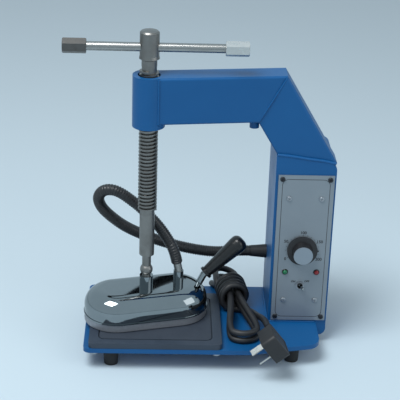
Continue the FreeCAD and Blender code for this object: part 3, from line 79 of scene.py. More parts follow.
def add(tree, kind, inputs=None, **settings):
    """Adds a shader node with its settings. An input that is given a socket is linked."""
    node = tree.nodes.new("ShaderNode" + kind)
    for name, value in settings.items():
        setattr(node, name, value)
    for name, value in (inputs or {}).items():
        if isinstance(value, bpy.types.NodeSocket):
            tree.links.new(value, node.inputs[name])
        else:
            node.inputs[name].default_value = value
    return node


bpy.ops.object.select_all(action="DESELECT")
CAMERA_PLACE = (-0.04547, -1.28795, 0.74303)
yaw, pitch, roll = 0.035614, -0.421074, 0.032357
look = Vector((math.sin(yaw) * math.cos(pitch), math.cos(yaw) * math.cos(pitch),
               math.sin(pitch)))
level_right = Vector((math.cos(yaw), -math.sin(yaw), 0))
level_up = level_right.cross(look)
right = level_right * math.cos(roll) + level_up * math.sin(roll)
up = level_up * math.cos(roll) - level_right * math.sin(roll)
bpy.ops.object.camera_add()
camera = bpy.context.active_object
camera.name = "camera"
camera.data.lens = 119.85
camera.data.sensor_width = 36
camera.matrix_world = Matrix.Translation(CAMERA_PLACE) @ Matrix(
    (right, up, -look)).transposed().to_4x4()
bpy.context.scene.camera = camera
bpy.context.scene.view_settings.view_transform = "Standard"

FLOOR_WIDE, FLOOR_GAP = 60, 0.0002
bpy.ops.mesh.primitive_plane_add(size=FLOOR_WIDE, location=(0, 0, -FLOOR_GAP))
floor = bpy.context.active_object
floor.name = "floor"
floor_paint = bpy.data.materials.new("matt_floor_paint")
floor_paint.use_nodes = True
tree = floor_paint.node_tree
tree.nodes["Principled BSDF"].inputs["Base Color"].default_value = paint("#C3D8E4")
tree.nodes["Principled BSDF"].inputs["Roughness"].default_value = 0.9
floor.data.materials.append(floor_paint)
floor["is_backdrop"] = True

world = bpy.data.worlds.new("studio")
bpy.context.scene.world = world
world.use_nodes = True
tree = world.node_tree
tree.nodes.clear()
rays = add(tree, "LightPath")
seen = add(tree, "Math", {0: rays.outputs["Is Camera Ray"], 1: rays.outputs["Is Glossy Ray"]},
           operation="MAXIMUM")
seen = add(tree, "Math", {0: seen.outputs[0], 1: rays.outputs["Is Transmission Ray"]},
           operation="MAXIMUM")
soft_light = add(tree, "Background", {"Color": paint("#F2F5F8"), "Strength": 0.42})
backdrop = add(tree, "Background", {"Color": paint("#C8DDE9"), "Strength": 1})
both = add(tree, "MixShader", {0: seen.outputs[0], 1: soft_light.outputs[0],
                               2: backdrop.outputs[0]})
add(tree, "OutputWorld", {"Surface": both.outputs[0]})

# Each lamp's place, its width in metres and its power in watts
PRESS_MIDDLE = Vector((0, 0, 0.15))
for name, place, size, power in (("key_lamp", (-0.55, -0.55, 1.75), 0.9, 27),
                                 ("fill_lamp", (1.3, -0.8, 0.9), 1.1, 6)):
    bpy.ops.object.light_add(type="AREA", location=place)
    lamp = bpy.context.active_object
    lamp.name = name
    lamp.data.size = size
    lamp.data.energy = power
    lamp.rotation_euler = (PRESS_MIDDLE - Vector(place)).to_track_quat("-Z", "Y").to_euler()


# Mains cord: one length of black PVC-sheathed flex. It leaves a relief on the rear cover,
# drops to the floor behind the column, and is folded on the base into a hank that its own
# last turns bind. Its tail ends in the moulded plug.
def coat(name, base, other, patch_mm, rough, rough_span, grain_mm, grain_deep, metallic=0,
         stretch=(1, 1, 1)):
    """A finish whose colour and gloss drift in patches, over a fine grain.

    stretch squeezes the grain along each axis, so 0.02 draws it out fifty times."""
    material = bpy.data.materials.new(name)
    material.use_nodes = True
    tree = material.node_tree
    surface = tree.nodes["Principled BSDF"]
    place = add(tree, "TexCoord").outputs["Object"]
    patches = add(tree, "TexNoise", {"Vector": place, "Scale": 1000 / patch_mm,
                                     "Detail": 4.0, "Roughness": 0.6})
    tint = add(tree, "Mix", {"Factor": patches.outputs["Fac"], 6: paint(base),
                             7: paint(other)}, data_type="RGBA")
    gloss = add(tree, "MapRange", {"Value": patches.outputs["Fac"], "From Min": 0.3,
                                   "From Max": 0.7, "To Min": rough,
                                   "To Max": rough + rough_span})
    drawn = add(tree, "Mapping", {"Vector": place, "Scale": stretch})
    grain = add(tree, "TexNoise", {"Vector": drawn.outputs["Vector"],
                                   "Scale": 1000 / grain_mm, "Detail": 2.0})
    relief = add(tree, "Bump", {"Height": grain.outputs["Fac"], "Strength": grain_deep,
                                "Distance": 0.0002})
    surface.inputs["Metallic"].default_value = metallic
    for socket, source in (("Base Color", tint.outputs[2]),
                           ("Roughness", gloss.outputs["Result"]),
                           ("Normal", relief.outputs["Normal"])):
        tree.links.new(source, surface.inputs[socket])
    return material


def finish(material, *nodes):
    """Gives a node's CAD mesh this material in every one of its slots."""
    for node in nodes:
        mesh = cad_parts[node].data
        if not mesh.materials:
            mesh.materials.append(material)
        for place in range(len(mesh.materials)):
            mesh.materials[place] = material


def line_through(name, points, diameter=0):
    """One open NURBS line whose control points are the route's."""
    curve = bpy.data.curves.new(name, "CURVE")
    curve.dimensions = "3D"
    curve.resolution_u = 8
    curve.bevel_depth = diameter / 2000
    curve.bevel_resolution = 5
    curve.use_fill_caps = True
    spline = curve.splines.new("NURBS")
    spline.points.add(len(points) - 1)
    for point, place in zip(spline.points, points):
        point.co = (*place, 1)
    spline.order_u = 3
    spline.use_endpoint_u = True
    line = bpy.data.objects.new(name, curve)
    bpy.context.scene.collection.objects.link(line)
    return line


# PVC sheath: soft, black, a little dusty, with a faint drawn grain and a low sheen
pvc_sheath = coat("pvc_sheath", "#17181A", "#232427", 9, 0.42, 0.14, 0.5, 0.25)
CORD_DIAMETER = 7
BASE_TOP = 25
cord_start = at(181, 103.2, 70)
rear_points = [at(*spot) for spot in (
    (181, 119, 70), (180, 137, 60.5), (177.5, 147, 43), (173.5, 146, 22.5),
    (165.5, 134, 8), (153.5, 120.5, 3.5), (138, 111, 3.5), (120, 106, 3.5),
    (102, 106.5, 6), (88, 103, 12), (78, 97, 19), (74.5, 87, 25.5))]

hank_front = at(107, -50, BASE_TOP + CORD_DIAMETER / 2)
hank_rear = at(89, 84, BASE_TOP + CORD_DIAMETER / 2)
hank_long = (hank_rear - hank_front).length * 1000
hank_run = (hank_rear - hank_front).normalized()
hank_side = hank_run.cross(Vector((0, 0, 1)))
layer, tie_radius, tie_front, tie_rear = 8.4, 13.9, 62, 107
front_radius, rear_radius = 17, 13


def on_hank(u, v, z):
    """A point of the hank, from its side, its run and its height in millimetres."""
    return hank_front + (hank_side * u + hank_run * v + Vector((0, 0, z))) / 1000


def waist(side, level, backwards):
    """One strand through the tie, drawn in beside and over the others."""
    ends = [(side * layer / 2, v, tie_radius + (level - 0.5) * layer)
            for v in (tie_front, tie_rear)]
    return ends if backwards else ends[::-1]


def bight(end, inward, radius, side, low, high):
    """A half turn round one end of the hank, that climbs from one height to another."""
    reach = radius * math.tan(math.pi / 8)
    corners = [(radius, radius - reach, 0.3), (reach, 0, 0.6), (-reach, 0, 0.9),
               (-radius, radius - reach, 1)]
    return [(side * u, end + inward * v, low + (high - low) * climb)
            for u, v, climb in corners]


hank_rows = [(-rear_radius, hank_long - rear_radius / 2, 0)]
for level in (0, 1):
    z = level * layer
    hank_rows += waist(-1, level, False) + bight(0, 1, front_radius, -1, z, z)
    hank_rows += waist(1, level, True)
    hank_rows += bight(hank_long, -1, rear_radius, 1, z, z + layer * (1 + level * 0.35))

WRAP_TURNS, WRAP_PITCH = 4, 7.7
wrap_reach = tie_radius / math.cos(math.pi / 8)
wrap_rear = tie_rear - 5
wrap_rows = [(-wrap_reach * math.cos(math.pi / 8), wrap_rear + 1, tie_radius + 5)]
for index in range(WRAP_TURNS * 8 + 2):
    turn = math.pi * 9 / 8 + index * math.pi / 4
    wrap_rows.append((wrap_reach * math.cos(turn), wrap_rear - index / 8 * WRAP_PITCH,
                      tie_radius + wrap_reach * math.sin(turn)))

# The plug's own frame: Y along its cord, Z away from its pins
plug_middle = at(134, -78, 41.5)
plug_pins = Vector((-0.79, -0.08, -0.61)).normalized()
plug_cord = Vector((-0.1, 0.995, 0))
plug_cord = (plug_cord - plug_pins * plug_cord.dot(plug_pins)).normalized()
plug_frame = Matrix.Translation(plug_middle) @ Matrix(
    (plug_pins.cross(plug_cord), plug_cord, -plug_pins)).transposed().to_4x4()
NECK_FROM_MIDDLE = 34
neck_tip = plug_middle + plug_cord * NECK_FROM_MIDDLE / 1000
tail_points = [at(*spot) for spot in (
    (110.9, 18.6, 28.5), (118, 10.5, 29.5), (121, 0.5, 32), (122.5, -9, 35.5),
    (126, -20, 39.5))] + [neck_tip + plug_cord * 0.012, neck_tip]

mains_cord = line_through(
    "mains_cord",
    [cord_start] + rear_points + [on_hank(*row) for row in hank_rows + wrap_rows]
    + tail_points, CORD_DIAMETER)
mains_cord.data.materials.append(pvc_sheath)
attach(mains_cord, "stand")
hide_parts("mains_cord_rear", "cord_hank", "cord_wraps", "mains_cord_tail")


# Plug: an angled three-pin plug moulded in black PVC round its cord, with a ringed relief
# and three flat pins of nickel-plated brass.
def start():
    """Nothing stays selected, so that an operator acts on the new piece alone."""
    if bpy.context.mode != "OBJECT":
        bpy.ops.object.mode_set(mode="OBJECT")
    bpy.ops.object.select_all(action="DESELECT")


def pick(kind, test):
    """In edit mode, selects the active mesh's faces, edges or vertices that pass a test."""
    piece = bpy.context.active_object
    bpy.ops.mesh.select_mode(type={"faces": "FACE", "edges": "EDGE",
                                   "vertices": "VERT"}[kind])
    bpy.ops.mesh.select_all(action="DESELECT")
    bpy.ops.object.mode_set(mode="OBJECT")
    mesh = piece.data
    for part in {"faces": mesh.polygons, "edges": mesh.edges,
                 "vertices": mesh.vertices}[kind]:
        part.select = test(mesh, part)
    bpy.ops.object.mode_set(mode="EDIT")


def middle(mesh, part):
    """The middle of a face, edge or vertex."""
    if hasattr(part, "center"):
        return part.center
    if hasattr(part, "co"):
        return part.co
    return (mesh.vertices[part.vertices[0]].co + mesh.vertices[part.vertices[1]].co) / 2


def placed(name, body, material, place=None, smooth=35):
    """Ends a piece: its place goes into its mesh, and it takes its body and its finish."""
    if bpy.context.mode != "OBJECT":
        bpy.ops.object.mode_set(mode="OBJECT")
    piece = bpy.context.active_object
    piece.name = name
    if place is not None:
        piece.matrix_world = place @ piece.matrix_world
    bpy.ops.object.transform_apply(location=True, rotation=True, scale=True)
    bpy.ops.object.mode_set(mode="EDIT")
    bpy.ops.mesh.select_all(action="SELECT")
    bpy.ops.mesh.remove_doubles(threshold=1e-7)
    bpy.ops.mesh.normals_make_consistent(inside=False)
    bpy.ops.object.mode_set(mode="OBJECT")
    bpy.ops.object.shade_smooth_by_angle(angle=math.radians(smooth))
    piece.data.materials.clear()
    piece.data.materials.append(material)
    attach(piece, body)
    return piece


PLUG_WIDE, PLUG_THICK, PLUG_ROUND = 30, 17, 4
PLUG_RIM, PLUG_STEP, PLUG_STEP_DEEP, PLUG_EDGE = 2.6, 0.8, 0.7, 0.9
start()
bpy.ops.mesh.primitive_cube_add(size=1, scale=(PLUG_WIDE / 1000, PLUG_WIDE / 1000,
                                               PLUG_THICK / 1000))
bpy.ops.object.transform_apply(location=False, rotation=False, scale=True)
bpy.ops.object.mode_set(mode="EDIT")
pick("edges", lambda mesh, edge: abs(middle(mesh, edge).z) < 1e-4)
bpy.ops.mesh.bevel(offset=PLUG_ROUND / 1000, segments=5, affect="EDGES")
pick("faces", lambda mesh, face: face.normal.z > 0.9)
bpy.ops.mesh.inset(thickness=PLUG_RIM / 1000, depth=0)
bpy.ops.mesh.inset(thickness=PLUG_STEP / 1000, depth=-PLUG_STEP_DEEP / 1000)
outer_edge = (PLUG_WIDE / 2 - PLUG_RIM) / 1000 + 1e-4
pick("edges", lambda mesh, edge: abs(abs(middle(mesh, edge).z) - PLUG_THICK / 2000) < 1e-5
     and max(abs(middle(mesh, edge).x), abs(middle(mesh, edge).y)) > outer_edge)
bpy.ops.mesh.bevel(offset=PLUG_EDGE / 1000, segments=3, affect="EDGES")
plug = placed("plug_moulding", "stand", pvc_sheath, plug_frame)

# The neck: five rings, each a groove, its floor, a shoulder and a band that tapers a little
start()
NECK_DIAMETER, NECK_ROOT, NECK_RINGS, NECK_SUNK = 11, 2, 5, 0.5
neck_steps = ((0.2, 0.8), (0.9, 1), (0.2, 1.2), (1.9, 0.985))
bpy.ops.mesh.primitive_cylinder_add(vertices=28, radius=NECK_DIAMETER / 2000,
                                    depth=NECK_ROOT / 1000, end_fill_type="NGON",
                                    location=(0, (PLUG_WIDE / 2 - NECK_SUNK) / 1000, 0),
                                    rotation=(-math.pi / 2, 0, 0))
bpy.ops.object.transform_apply(location=True, rotation=True, scale=True)
bpy.ops.object.mode_set(mode="EDIT")
pick("faces", lambda mesh, face: face.normal.y > 0.9)
for ring in range(NECK_RINGS):
    for step, size in neck_steps:
        bpy.ops.mesh.extrude_region_move(
            TRANSFORM_OT_translate={"value": (0, step / 1000, 0)})
        bpy.ops.transform.resize(value=(size, 1, size))
relief = placed("plug_neck", "stand", pvc_sheath, plug_frame)
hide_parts("plug_body")

# Nickel plating: bright, slightly warm, with a fine grain
nickel = coat("nickel_plating", "#C9C8C4", "#B4B2AD", 6, 0.22, 0.14, 0.8, 0.15, 1)
finish(nickel, "plug_pins")


# Ribbed hose: black corrugated nylon that carries the heater's wires from the column's
# grommet, along behind the screw, up and over to the ferrule on the dome. Its far end turns
# with the iron. Here it is made in two lengths that meet behind the screw, and neither is set
# on a body, so both stay still.
def ringed_tube(name, line, rings, first, count, step, sides):
    """One ring of the tube, opened out in edit mode, then repeated and bent to the line."""
    start()
    bpy.ops.mesh.primitive_circle_add(vertices=sides, radius=rings[0][1] / 1000,
                                      fill_type="NOTHING", rotation=(0, math.pi / 2, 0),
                                      location=(first * step / 1000, 0, 0))
    bpy.ops.object.transform_apply(location=True, rotation=True, scale=True)
    bpy.ops.object.mode_set(mode="EDIT")
    bpy.ops.mesh.select_mode(type="VERT")
    bpy.ops.mesh.select_all(action="SELECT")
    for (low, thin), (high, thick) in zip(rings, rings[1:]):
        bpy.ops.mesh.extrude_region_move(
            TRANSFORM_OT_translate={"value": ((high - low) * step / 1000, 0, 0)})
        bpy.ops.transform.resize(value=(1, thick / thin, thick / thin))
    bpy.ops.object.mode_set(mode="OBJECT")
    tube = bpy.context.active_object
    tube.name = name
    repeat = tube.modifiers.new("repeat", "ARRAY")
    repeat.count = count
    repeat.use_relative_offset = False
    repeat.use_constant_offset = True
    repeat.constant_offset_displace = (step / 1000, 0, 0)
    repeat.use_merge_vertices = True
    repeat.merge_threshold = 1e-5
    bend = tube.modifiers.new("bend", "CURVE")
    bend.object = line
    bend.deform_axis = "POS_X"
    for modifier in ("repeat", "bend"):
        bpy.ops.object.modifier_apply(modifier=modifier)
    return tube


def points_on(line):
    """The points that a line's NURBS runs through, and their distances along it in mm."""
    mesh = bpy.data.meshes.new_from_object(line)
    places = [vertex.co.copy() for vertex in mesh.vertices]
    along = [0]
    for before, after in zip(places, places[1:]):
        along.append(along[-1] + (after - before).length * 1000)
    return places, along


# Corrugated nylon: black, glossier than the flex, with greyer patches
corrugated_nylon = coat("corrugated_nylon", "#141517", "#2A2B2E", 5, 0.3, 0.16, 0.6, 0.2)
HOSE_OUTSIDE, HOSE_RIB, RIB_PITCH, ENDING_RIBS = 12.4, 0.5, 2.6, 31
hose_start = at(116, 62, 80)
ferrule_tip = at(32.98, 9.01, 90.8)
hose_line = line_through("hose_line", [hose_start] + [at(*spot) for spot in (
    (98, 62, 80), (78, 61, 78.2), (56, 61, 80.5), (34, 60, 85.6), (13, 57.5, 93),
    (-7, 53.5, 102.7), (-25.5, 48, 114.5), (-40.5, 46, 127.3), (-50.8, 43, 139.5),
    (-54.2, 38, 153.2), (-48.5, 31.5, 164.3), (-38.5, 27, 167.8), (-27.7, 25, 164.2),
    (-16.7, 23.8, 156.2), (-7.5, 22.8, 149.3), (11.9, 19.2, 130), (22, 15.6, 116.4),
    (30.07, 9.01, 104.5))] + [ferrule_tip])
hose_line.data.resolution_u = 24
hose_points, hose_along = points_on(hose_line)
rib_count = round(hose_along[-1] / RIB_PITCH)
rib_step = hose_along[-1] / rib_count
valley, crest = HOSE_OUTSIDE / 2 - HOSE_RIB, HOSE_OUTSIDE / 2
rib = [(0, valley), (0.12, valley), (0.26, crest), (0.54, crest), (0.68, valley),
       (1, valley)]
starting_ribs = rib_count - ENDING_RIBS
cut = next(index for index, along in enumerate(hose_along)
           if along >= starting_ribs * rib_step)
for name, first, count, path, exit_point, bodies, node in (
        ("hose_from_column", 0, starting_ribs, hose_points[:cut + 1], hose_start,
         ("stand", "carriage"), "power_hose"),
        ("hose_to_iron", starting_ribs, ENDING_RIBS, hose_points[cut:], hose_points[cut],
         ("carriage", "iron"), "hose_end")):
    hose = ringed_tube(name, hose_line, rib, first, count, rib_step, 28)
    hose.data.materials.clear()
    hose.data.materials.append(corrugated_nylon)
    bpy.ops.object.shade_smooth_by_angle(angle=math.radians(50))
    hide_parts(node)
    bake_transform(hose)
bpy.data.objects.remove(hose_line)

# Grommet and relief: moulded black rubber sleeves. The hose's grommet flares from the
# column's wall, and the mains cord's relief stands on the rear cover.
moulded_rubber = coat("moulded_rubber", "#151618", "#26272A", 7, 0.5, 0.2, 0.7, 0.35)
finish(moulded_rubber, "hose_grommet", "mains_strain_relief")

# Feet: round black rubber buffers, screwed up into the base plate from below.
# Rubber: matt, near black, with greyer patches
buffer_rubber = coat("buffer_rubber", "#121314", "#202123", 5, 0.62, 0.2, 1.1, 0.5)
finish(buffer_rubber, "foot_front_left", "foot_front_right", "foot_rear_left",
       "foot_rear_right")
# Zinc plate: pale bluish steel with soft uneven gloss, for small fasteners and brackets
zinc_plate = coat("zinc_plate", "#A9ADB2", "#8F9398", 3, 0.34, 0.2, 0.4, 0.2, 1)
finish(zinc_plate, "base_screws", "rear_cover_screws", "chassis_brackets", "clamp_plate",
       "clamp_screws", "socket_pins", "thermostat_spindle", "knob_grub_screw", "toggle_nut")

# Frame: base plate, folded column, mitred oblong tube and nut boss, all of mild steel,
# welded together, ground at the corners and powder coated in one blue.
# Powder coat: even colour with a fine orange peel that breaks up its highlights
powder_coat = coat("powder_coat", "#0B4F87", "#0F578F", 40, 0.34, 0.1, 1.3, 0.3)
powder_coat.node_tree.nodes["Principled BSDF"].inputs[
    "Specular IOR Level"].default_value = 0.3
finish(powder_coat, "base_plate", "column_shell", "gooseneck", "arm", "nut_boss",
       "hook_peg", "rear_cover")

# Weld beads, coated with the frame: at the column's shoulder and foot, along the mitre and
# round the boss. Each is a row of ripples, and those on the column waver a little.
BOSS_RADIUS, TUBE_HALF, ARM_SWING = 17, 15, math.radians(7.2)
BOSS_TOP, ARM_BOTTOM, BEAD_SIDES = 307, 257, 12
along_arm = math.sqrt(BOSS_RADIUS ** 2 - TUBE_HALF ** 2)
arm_ends = [(along_arm * math.cos(ARM_SWING) - side * math.sin(ARM_SWING),
             along_arm * math.sin(ARM_SWING) + side * math.cos(ARM_SWING))
            for side in (-TUBE_HALF, TUBE_HALF)]
welds = {
    "weld_shoulder_front": (1.7, [(134.8, 0, 221.9), (147.5, -0.1, 221.1),
                                  (164, 0, 218.2), (176, -0.1, 216.9), (187, 0, 215.5),
                                  (196.6, 0.1, 212.9)]),
    "weld_shoulder_rear": (1.6, [(135, 31.6, 221.7), (150, 31.8, 219.3), (165, 31.5, 217.4),
                                 (182, 31.8, 214.9), (196.6, 31.6, 212.8)]),
    "weld_mitre": (0.9, [(113.4, 0.3, 258), (120, 0.3, 269.9), (127, 0.7, 281.8),
                         (134, 1.3, 294.5), (140.8, 1.8, 306.2)]),
    "weld_boss_front": (1.3, [(*arm_ends[0], 257.6), (*arm_ends[0], 275),
                              (*arm_ends[0], 290), (*arm_ends[0], BOSS_TOP - 0.8)]),
    "weld_boss_rear": (1.3, [(*arm_ends[1], 257.6), (*arm_ends[1], 275),
                             (*arm_ends[1], 290), (*arm_ends[1], BOSS_TOP - 0.8)]),
    "weld_boss_under": (1.3, [
        (BOSS_RADIUS * math.cos(turn), BOSS_RADIUS * math.sin(turn), ARM_BOTTOM)
        for turn in (math.radians(degrees) for degrees in range(-52, 71, 20))]),
    "weld_base_front": (1.2, [(136, -1.3, 25.4), (150, -1.5, 25.5), (168, -1.2, 25.4),
                              (185.5, -1.4, 25.5)]),
    "weld_base_left": (1.2, [(133.6, 2, 25.4), (133.3, 25, 25.5), (133.6, 50, 25.4),
                             (133.4, 75, 25.5)])}
for name, (thick, spots) in welds.items():
    run = line_through(name + "_line", [at(*spot) for spot in spots])
    reach = points_on(run)[1][-1]
    ripples = round(reach / (thick * 1.3))
    ripple = [(0, thick * 0.86), (0.3, thick), (0.75, thick * 0.97), (1, thick * 0.86)]
    ringed_tube(name, run, ripple, 0, ripples, reach / ripples, BEAD_SIDES)
    bpy.ops.object.mode_set(mode="EDIT")
    bpy.ops.mesh.select_all(action="SELECT")
    bpy.ops.mesh.fill_holes(sides=BEAD_SIDES)
    placed(name, "stand", powder_coat, smooth=60)
    bpy.data.objects.remove(run)

# Platen: a shallow pressed-steel tray, bolted to the base from below, with a sheet of
# dense rubber let into its top that the tyre is pressed against.
# Stove enamel: dark blue grey, satin, paler in patches
stove_enamel = coat("stove_enamel", "#252E3B", "#334050", 22, 0.36, 0.16, 0.9, 0.3)
finish(stove_enamel, "lower_platen")
# Sheet rubber: flat, dense and dark, with paler patches
sheet_rubber = coat("sheet_rubber", "#272F3A", "#343E4B", 14, 0.5, 0.18, 0.8, 0.3)
finish(sheet_rubber, "platen_pad")

# Press screw: turned from one mild-steel bar with a trapezoidal thread, running in a
# bronze nut inside the boss. A drilled head takes the sliding tommy bar.
# Turned steel: fine rings left by the tool, lightly oiled, with greyer patches
turned_steel = coat("turned_steel", "#8E8D8A", "#6D6A67", 12, 0.28, 0.2, 0.35, 0.5, 1,
                    (0.03, 0.03, 1))
finish(turned_steel, "lead_screw")
# Drawn steel: bright, with hair lines along the bar
drawn_steel = coat("drawn_steel", "#A6A6A4", "#8A8986", 9, 0.2, 0.14, 0.35, 0.12, 1,
                   (0.02, 1, 1))
finish(drawn_steel, "tommy_bar")
# Milled steel: the right cap is newer and still bright
milled_steel = coat("milled_steel", "#DADAD7", "#C3C2BF", 5, 0.24, 0.12, 0.35, 0.3, 1,
                    (0.05, 1, 1))
finish(milled_steel, "bar_cap_right")
# Blackened steel: the left cap is older and has darkened
blackened_steel = coat("blackened_steel", "#6E6C6A", "#555350", 4, 0.34, 0.16, 0.4, 0.4, 1,
                       (0.05, 1, 1))
finish(blackened_steel, "bar_cap_left")
# Bronze: warm, machined, browned by grease
gunmetal = coat("gunmetal", "#A9814C", "#80603A", 5, 0.3, 0.15, 0.4, 0.3, 1)
finish(gunmetal, "screw_nut", "thrust_pad")

# Iron: a deep-drawn steel dome, chromium plated, over a cast aluminium sole. The heating
# element and the sensor bulb are clamped between them.
# Chromium: a mirror with a cold grey tint, faintly veiled in patches
chromium = coat("chromium", "#8C9396", "#81888B", 16, 0.04, 0.05, 0.9, 0.03, 1)
finish(chromium, "iron_dome", "ball_socket", "gland_socket", "handle_rod", "toggle_lever")
# Crimped brass ferrule, nickel plated: bright, a little uneven
crimped_nickel = coat("crimped_nickel", "#A8A7A4", "#8B8985", 3, 0.22, 0.16, 0.6, 0.4, 1)
finish(crimped_nickel, "hose_ferrule")
# Cast aluminium: matt grey and grainy, with darker patches
cast_aluminium = coat("cast_aluminium", "#A3A6AC", "#868990", 6, 0.42, 0.2, 0.9, 0.6, 0.8)
finish(cast_aluminium, "iron_sole")
# Oxidised steel sheath: straw and blue heat colours over dull grey
heat_tinted_steel = coat("heat_tinted_steel", "#7A6A58", "#56596A", 6, 0.4, 0.2, 0.5, 0.3, 1)
finish(heat_tinted_steel, "heating_element", "sensor_bulb")

# Handle: a bent chromium-plated rod screwed into the dome, with a bolster and a tapered
# grip of moulded phenolic.
# Phenolic: hard, deep black and glossy
phenolic = coat("phenolic", "#090A0B", "#141517", 8, 0.2, 0.12, 1.2, 0.15)
finish(phenolic, "handle_grip", "handle_bolster")

# Front panel: a strip of grey anodised aluminium, printed with a border, the dial's
# numbers and the switch's two words, and held by eight cross-head screws.
# Anodised aluminium: satin grey, with the brushing of the sheet running up the strip
anodised_aluminium = coat("anodised_aluminium", "#7C8790", "#87929A", 30, 0.38, 0.08, 0.3,
                          0.25, 0.35, (1, 1, 0.02))
finish(anodised_aluminium, "front_panel")
# Printing ink: flat, dark grey, a little uneven
printing_ink = coat("printing_ink", "#1D1F22", "#34373B", 2, 0.55, 0.15, 0.4, 0.1)
PANEL_X, PANEL_FACE, PANEL_WIDE, PANEL_LOW, PANEL_TALL = 166.6, -2.5, 59.2, 28, 172
INK_THICK, INK_LIFT = 0.06, 0.01
STANDING = Matrix.Rotation(math.pi / 2, 4, "X")


def on_panel(x, z, out=0):
    """Stands a piece that was drawn flat on the panel, out from its face in mm."""
    return Matrix.Translation(at(x, PANEL_FACE - out, z)) @ STANDING


def inked():
    """Gives a flat outline in edit mode the thickness of a coat of ink."""
    bpy.ops.mesh.select_all(action="SELECT")
    bpy.ops.mesh.extrude_region_move(
        TRANSFORM_OT_translate={"value": (0, 0, INK_THICK / 1000)})


BORDER_IN, BORDER_WIDE, BORDER_ROUND = 4.2, 0.55, 7
start()
bpy.ops.mesh.primitive_plane_add(size=1)
bpy.ops.transform.resize(value=((PANEL_WIDE - 2 * BORDER_IN) / 1000,
                                (PANEL_TALL - 2 * BORDER_IN) / 1000, 1))
bpy.ops.object.transform_apply(location=False, rotation=False, scale=True)
bpy.ops.object.mode_set(mode="EDIT")
bpy.ops.mesh.select_mode(type="VERT")
bpy.ops.mesh.select_all(action="SELECT")
bpy.ops.mesh.bevel(offset=BORDER_ROUND / 1000, segments=6, affect="VERTICES")
bpy.ops.mesh.select_mode(type="FACE")
bpy.ops.mesh.select_all(action="SELECT")
bpy.ops.mesh.inset(thickness=BORDER_WIDE / 1000, depth=0)
bpy.ops.mesh.delete(type="FACE")
inked()
placed("panel_border", "stand", printing_ink,
       on_panel(PANEL_X, PANEL_LOW + PANEL_TALL / 2, INK_LIFT))

# The dial: a number each 60 degrees and a tick each 15, longer where there is a number
DIAL_X, DIAL_Z, NUMBER_RADIUS, TICK_RADIUS = 166.9, 113, 20.8, 17.8
NUMBER_TALL, WORD_TALL, STROKE = 4.6, 3, 0.12
LONG_TICK, SHORT_TICK, TICK_WIDE = 1.6, 1, 0.4
dial_numbers = {210: "0", 150: "50", 90: "100", 30: "150", -30: "200"}
printed = [(words, DIAL_X + NUMBER_RADIUS * math.cos(math.radians(turn)),
            DIAL_Z + NUMBER_RADIUS * math.sin(math.radians(turn)), NUMBER_TALL)
           for turn, words in dial_numbers.items()]
printed += [("ON", 159.2, 75.4, WORD_TALL), ("OFF", 174, 75.7, WORD_TALL)]
letters = []
for words, x, z, tall in printed:
    start()
    bpy.ops.object.text_add()
    text = bpy.context.active_object
    text.data.body = words
    text.data.size = tall / 1000
    text.data.offset = STROKE / 1000
    text.data.align_x = "CENTER"
    text.data.align_y = "CENTER"
    bpy.ops.object.convert(target="MESH")
    bpy.ops.object.mode_set(mode="EDIT")
    inked()
    letters.append(placed("letters", "stand", printing_ink,
                          on_panel(x, z, INK_LIFT)))
for turn in range(-30, 211, 15):
    start()
    bpy.ops.mesh.primitive_plane_add(size=1)
    tick_long = LONG_TICK if turn in dial_numbers else SHORT_TICK
    bpy.ops.transform.resize(value=(tick_long / 1000, TICK_WIDE / 1000, 1))
    bpy.ops.object.transform_apply(location=False, rotation=False, scale=True)
    bpy.ops.object.mode_set(mode="EDIT")
    inked()
    angle = math.radians(turn)
    letters.append(placed("tick", "stand", printing_ink, on_panel(
        DIAL_X + TICK_RADIUS * math.cos(angle), DIAL_Z + TICK_RADIUS * math.sin(angle),
        INK_LIFT) @ Matrix.Rotation(angle, 4, "Z")))
start()
for letter in letters:
    letter.select_set(True)
bpy.context.view_layer.objects.active = letters[0]
bpy.ops.object.join()
letters[0].name = "panel_lettering"

# The panel's screws: steel pan heads with a cross recess. Four hold its corners to the
# column, and four go through to the brackets behind. Each is turned to its own angle.
SCREW_HEAD, SCREW_HEAD_TALL, SCREW_SHANK, SHANK_LONG = 2.7, 1.4, 1.5, 5
HEAD_ROUND, CROSS_IN, CROSS_DEEP, CROSS_PINCH = 0.6, 0.6, 0.7, 0.42
start()
bpy.ops.mesh.primitive_cylinder_add(vertices=24, radius=SCREW_HEAD / 1000,
                                    depth=SCREW_HEAD_TALL / 1000, end_fill_type="NGON",
                                    location=(0, 0, SCREW_HEAD_TALL / 2000))
bpy.ops.object.transform_apply(location=True, rotation=True, scale=True)
bpy.ops.object.mode_set(mode="EDIT")
pick("faces", lambda mesh, face: face.normal.z < -0.9)
bpy.ops.mesh.inset(thickness=(SCREW_HEAD - SCREW_SHANK) / 1000, depth=0)
bpy.ops.mesh.extrude_region_move(
    TRANSFORM_OT_translate={"value": (0, 0, -SHANK_LONG / 1000)})
pick("edges", lambda mesh, edge: min(
    mesh.vertices[end].co.z for end in edge.vertices) > SCREW_HEAD_TALL / 1000 - 1e-5)
bpy.ops.mesh.bevel(offset=HEAD_ROUND / 1000, segments=3, affect="EDGES")
pick("faces", lambda mesh, face: face.normal.z > 0.99 and face.area > 3e-6)
bpy.ops.mesh.inset(thickness=CROSS_IN / 1000, depth=0)
pick("vertices", lambda mesh, vertex: vertex.co.z > SCREW_HEAD_TALL / 1000 - 1e-5
     and vertex.co.xy.length < (SCREW_HEAD - HEAD_ROUND - CROSS_IN) / 1000 + 1.5e-4
     and abs(math.degrees(math.atan2(vertex.co.y, vertex.co.x)) % 90 - 45) < 26)
bpy.ops.transform.resize(value=(CROSS_PINCH, CROSS_PINCH, 1), center_override=(0, 0, 0))
pick("faces", lambda mesh, face: face.normal.z > 0.99
     and middle(mesh, face).xy.length < 1e-4)
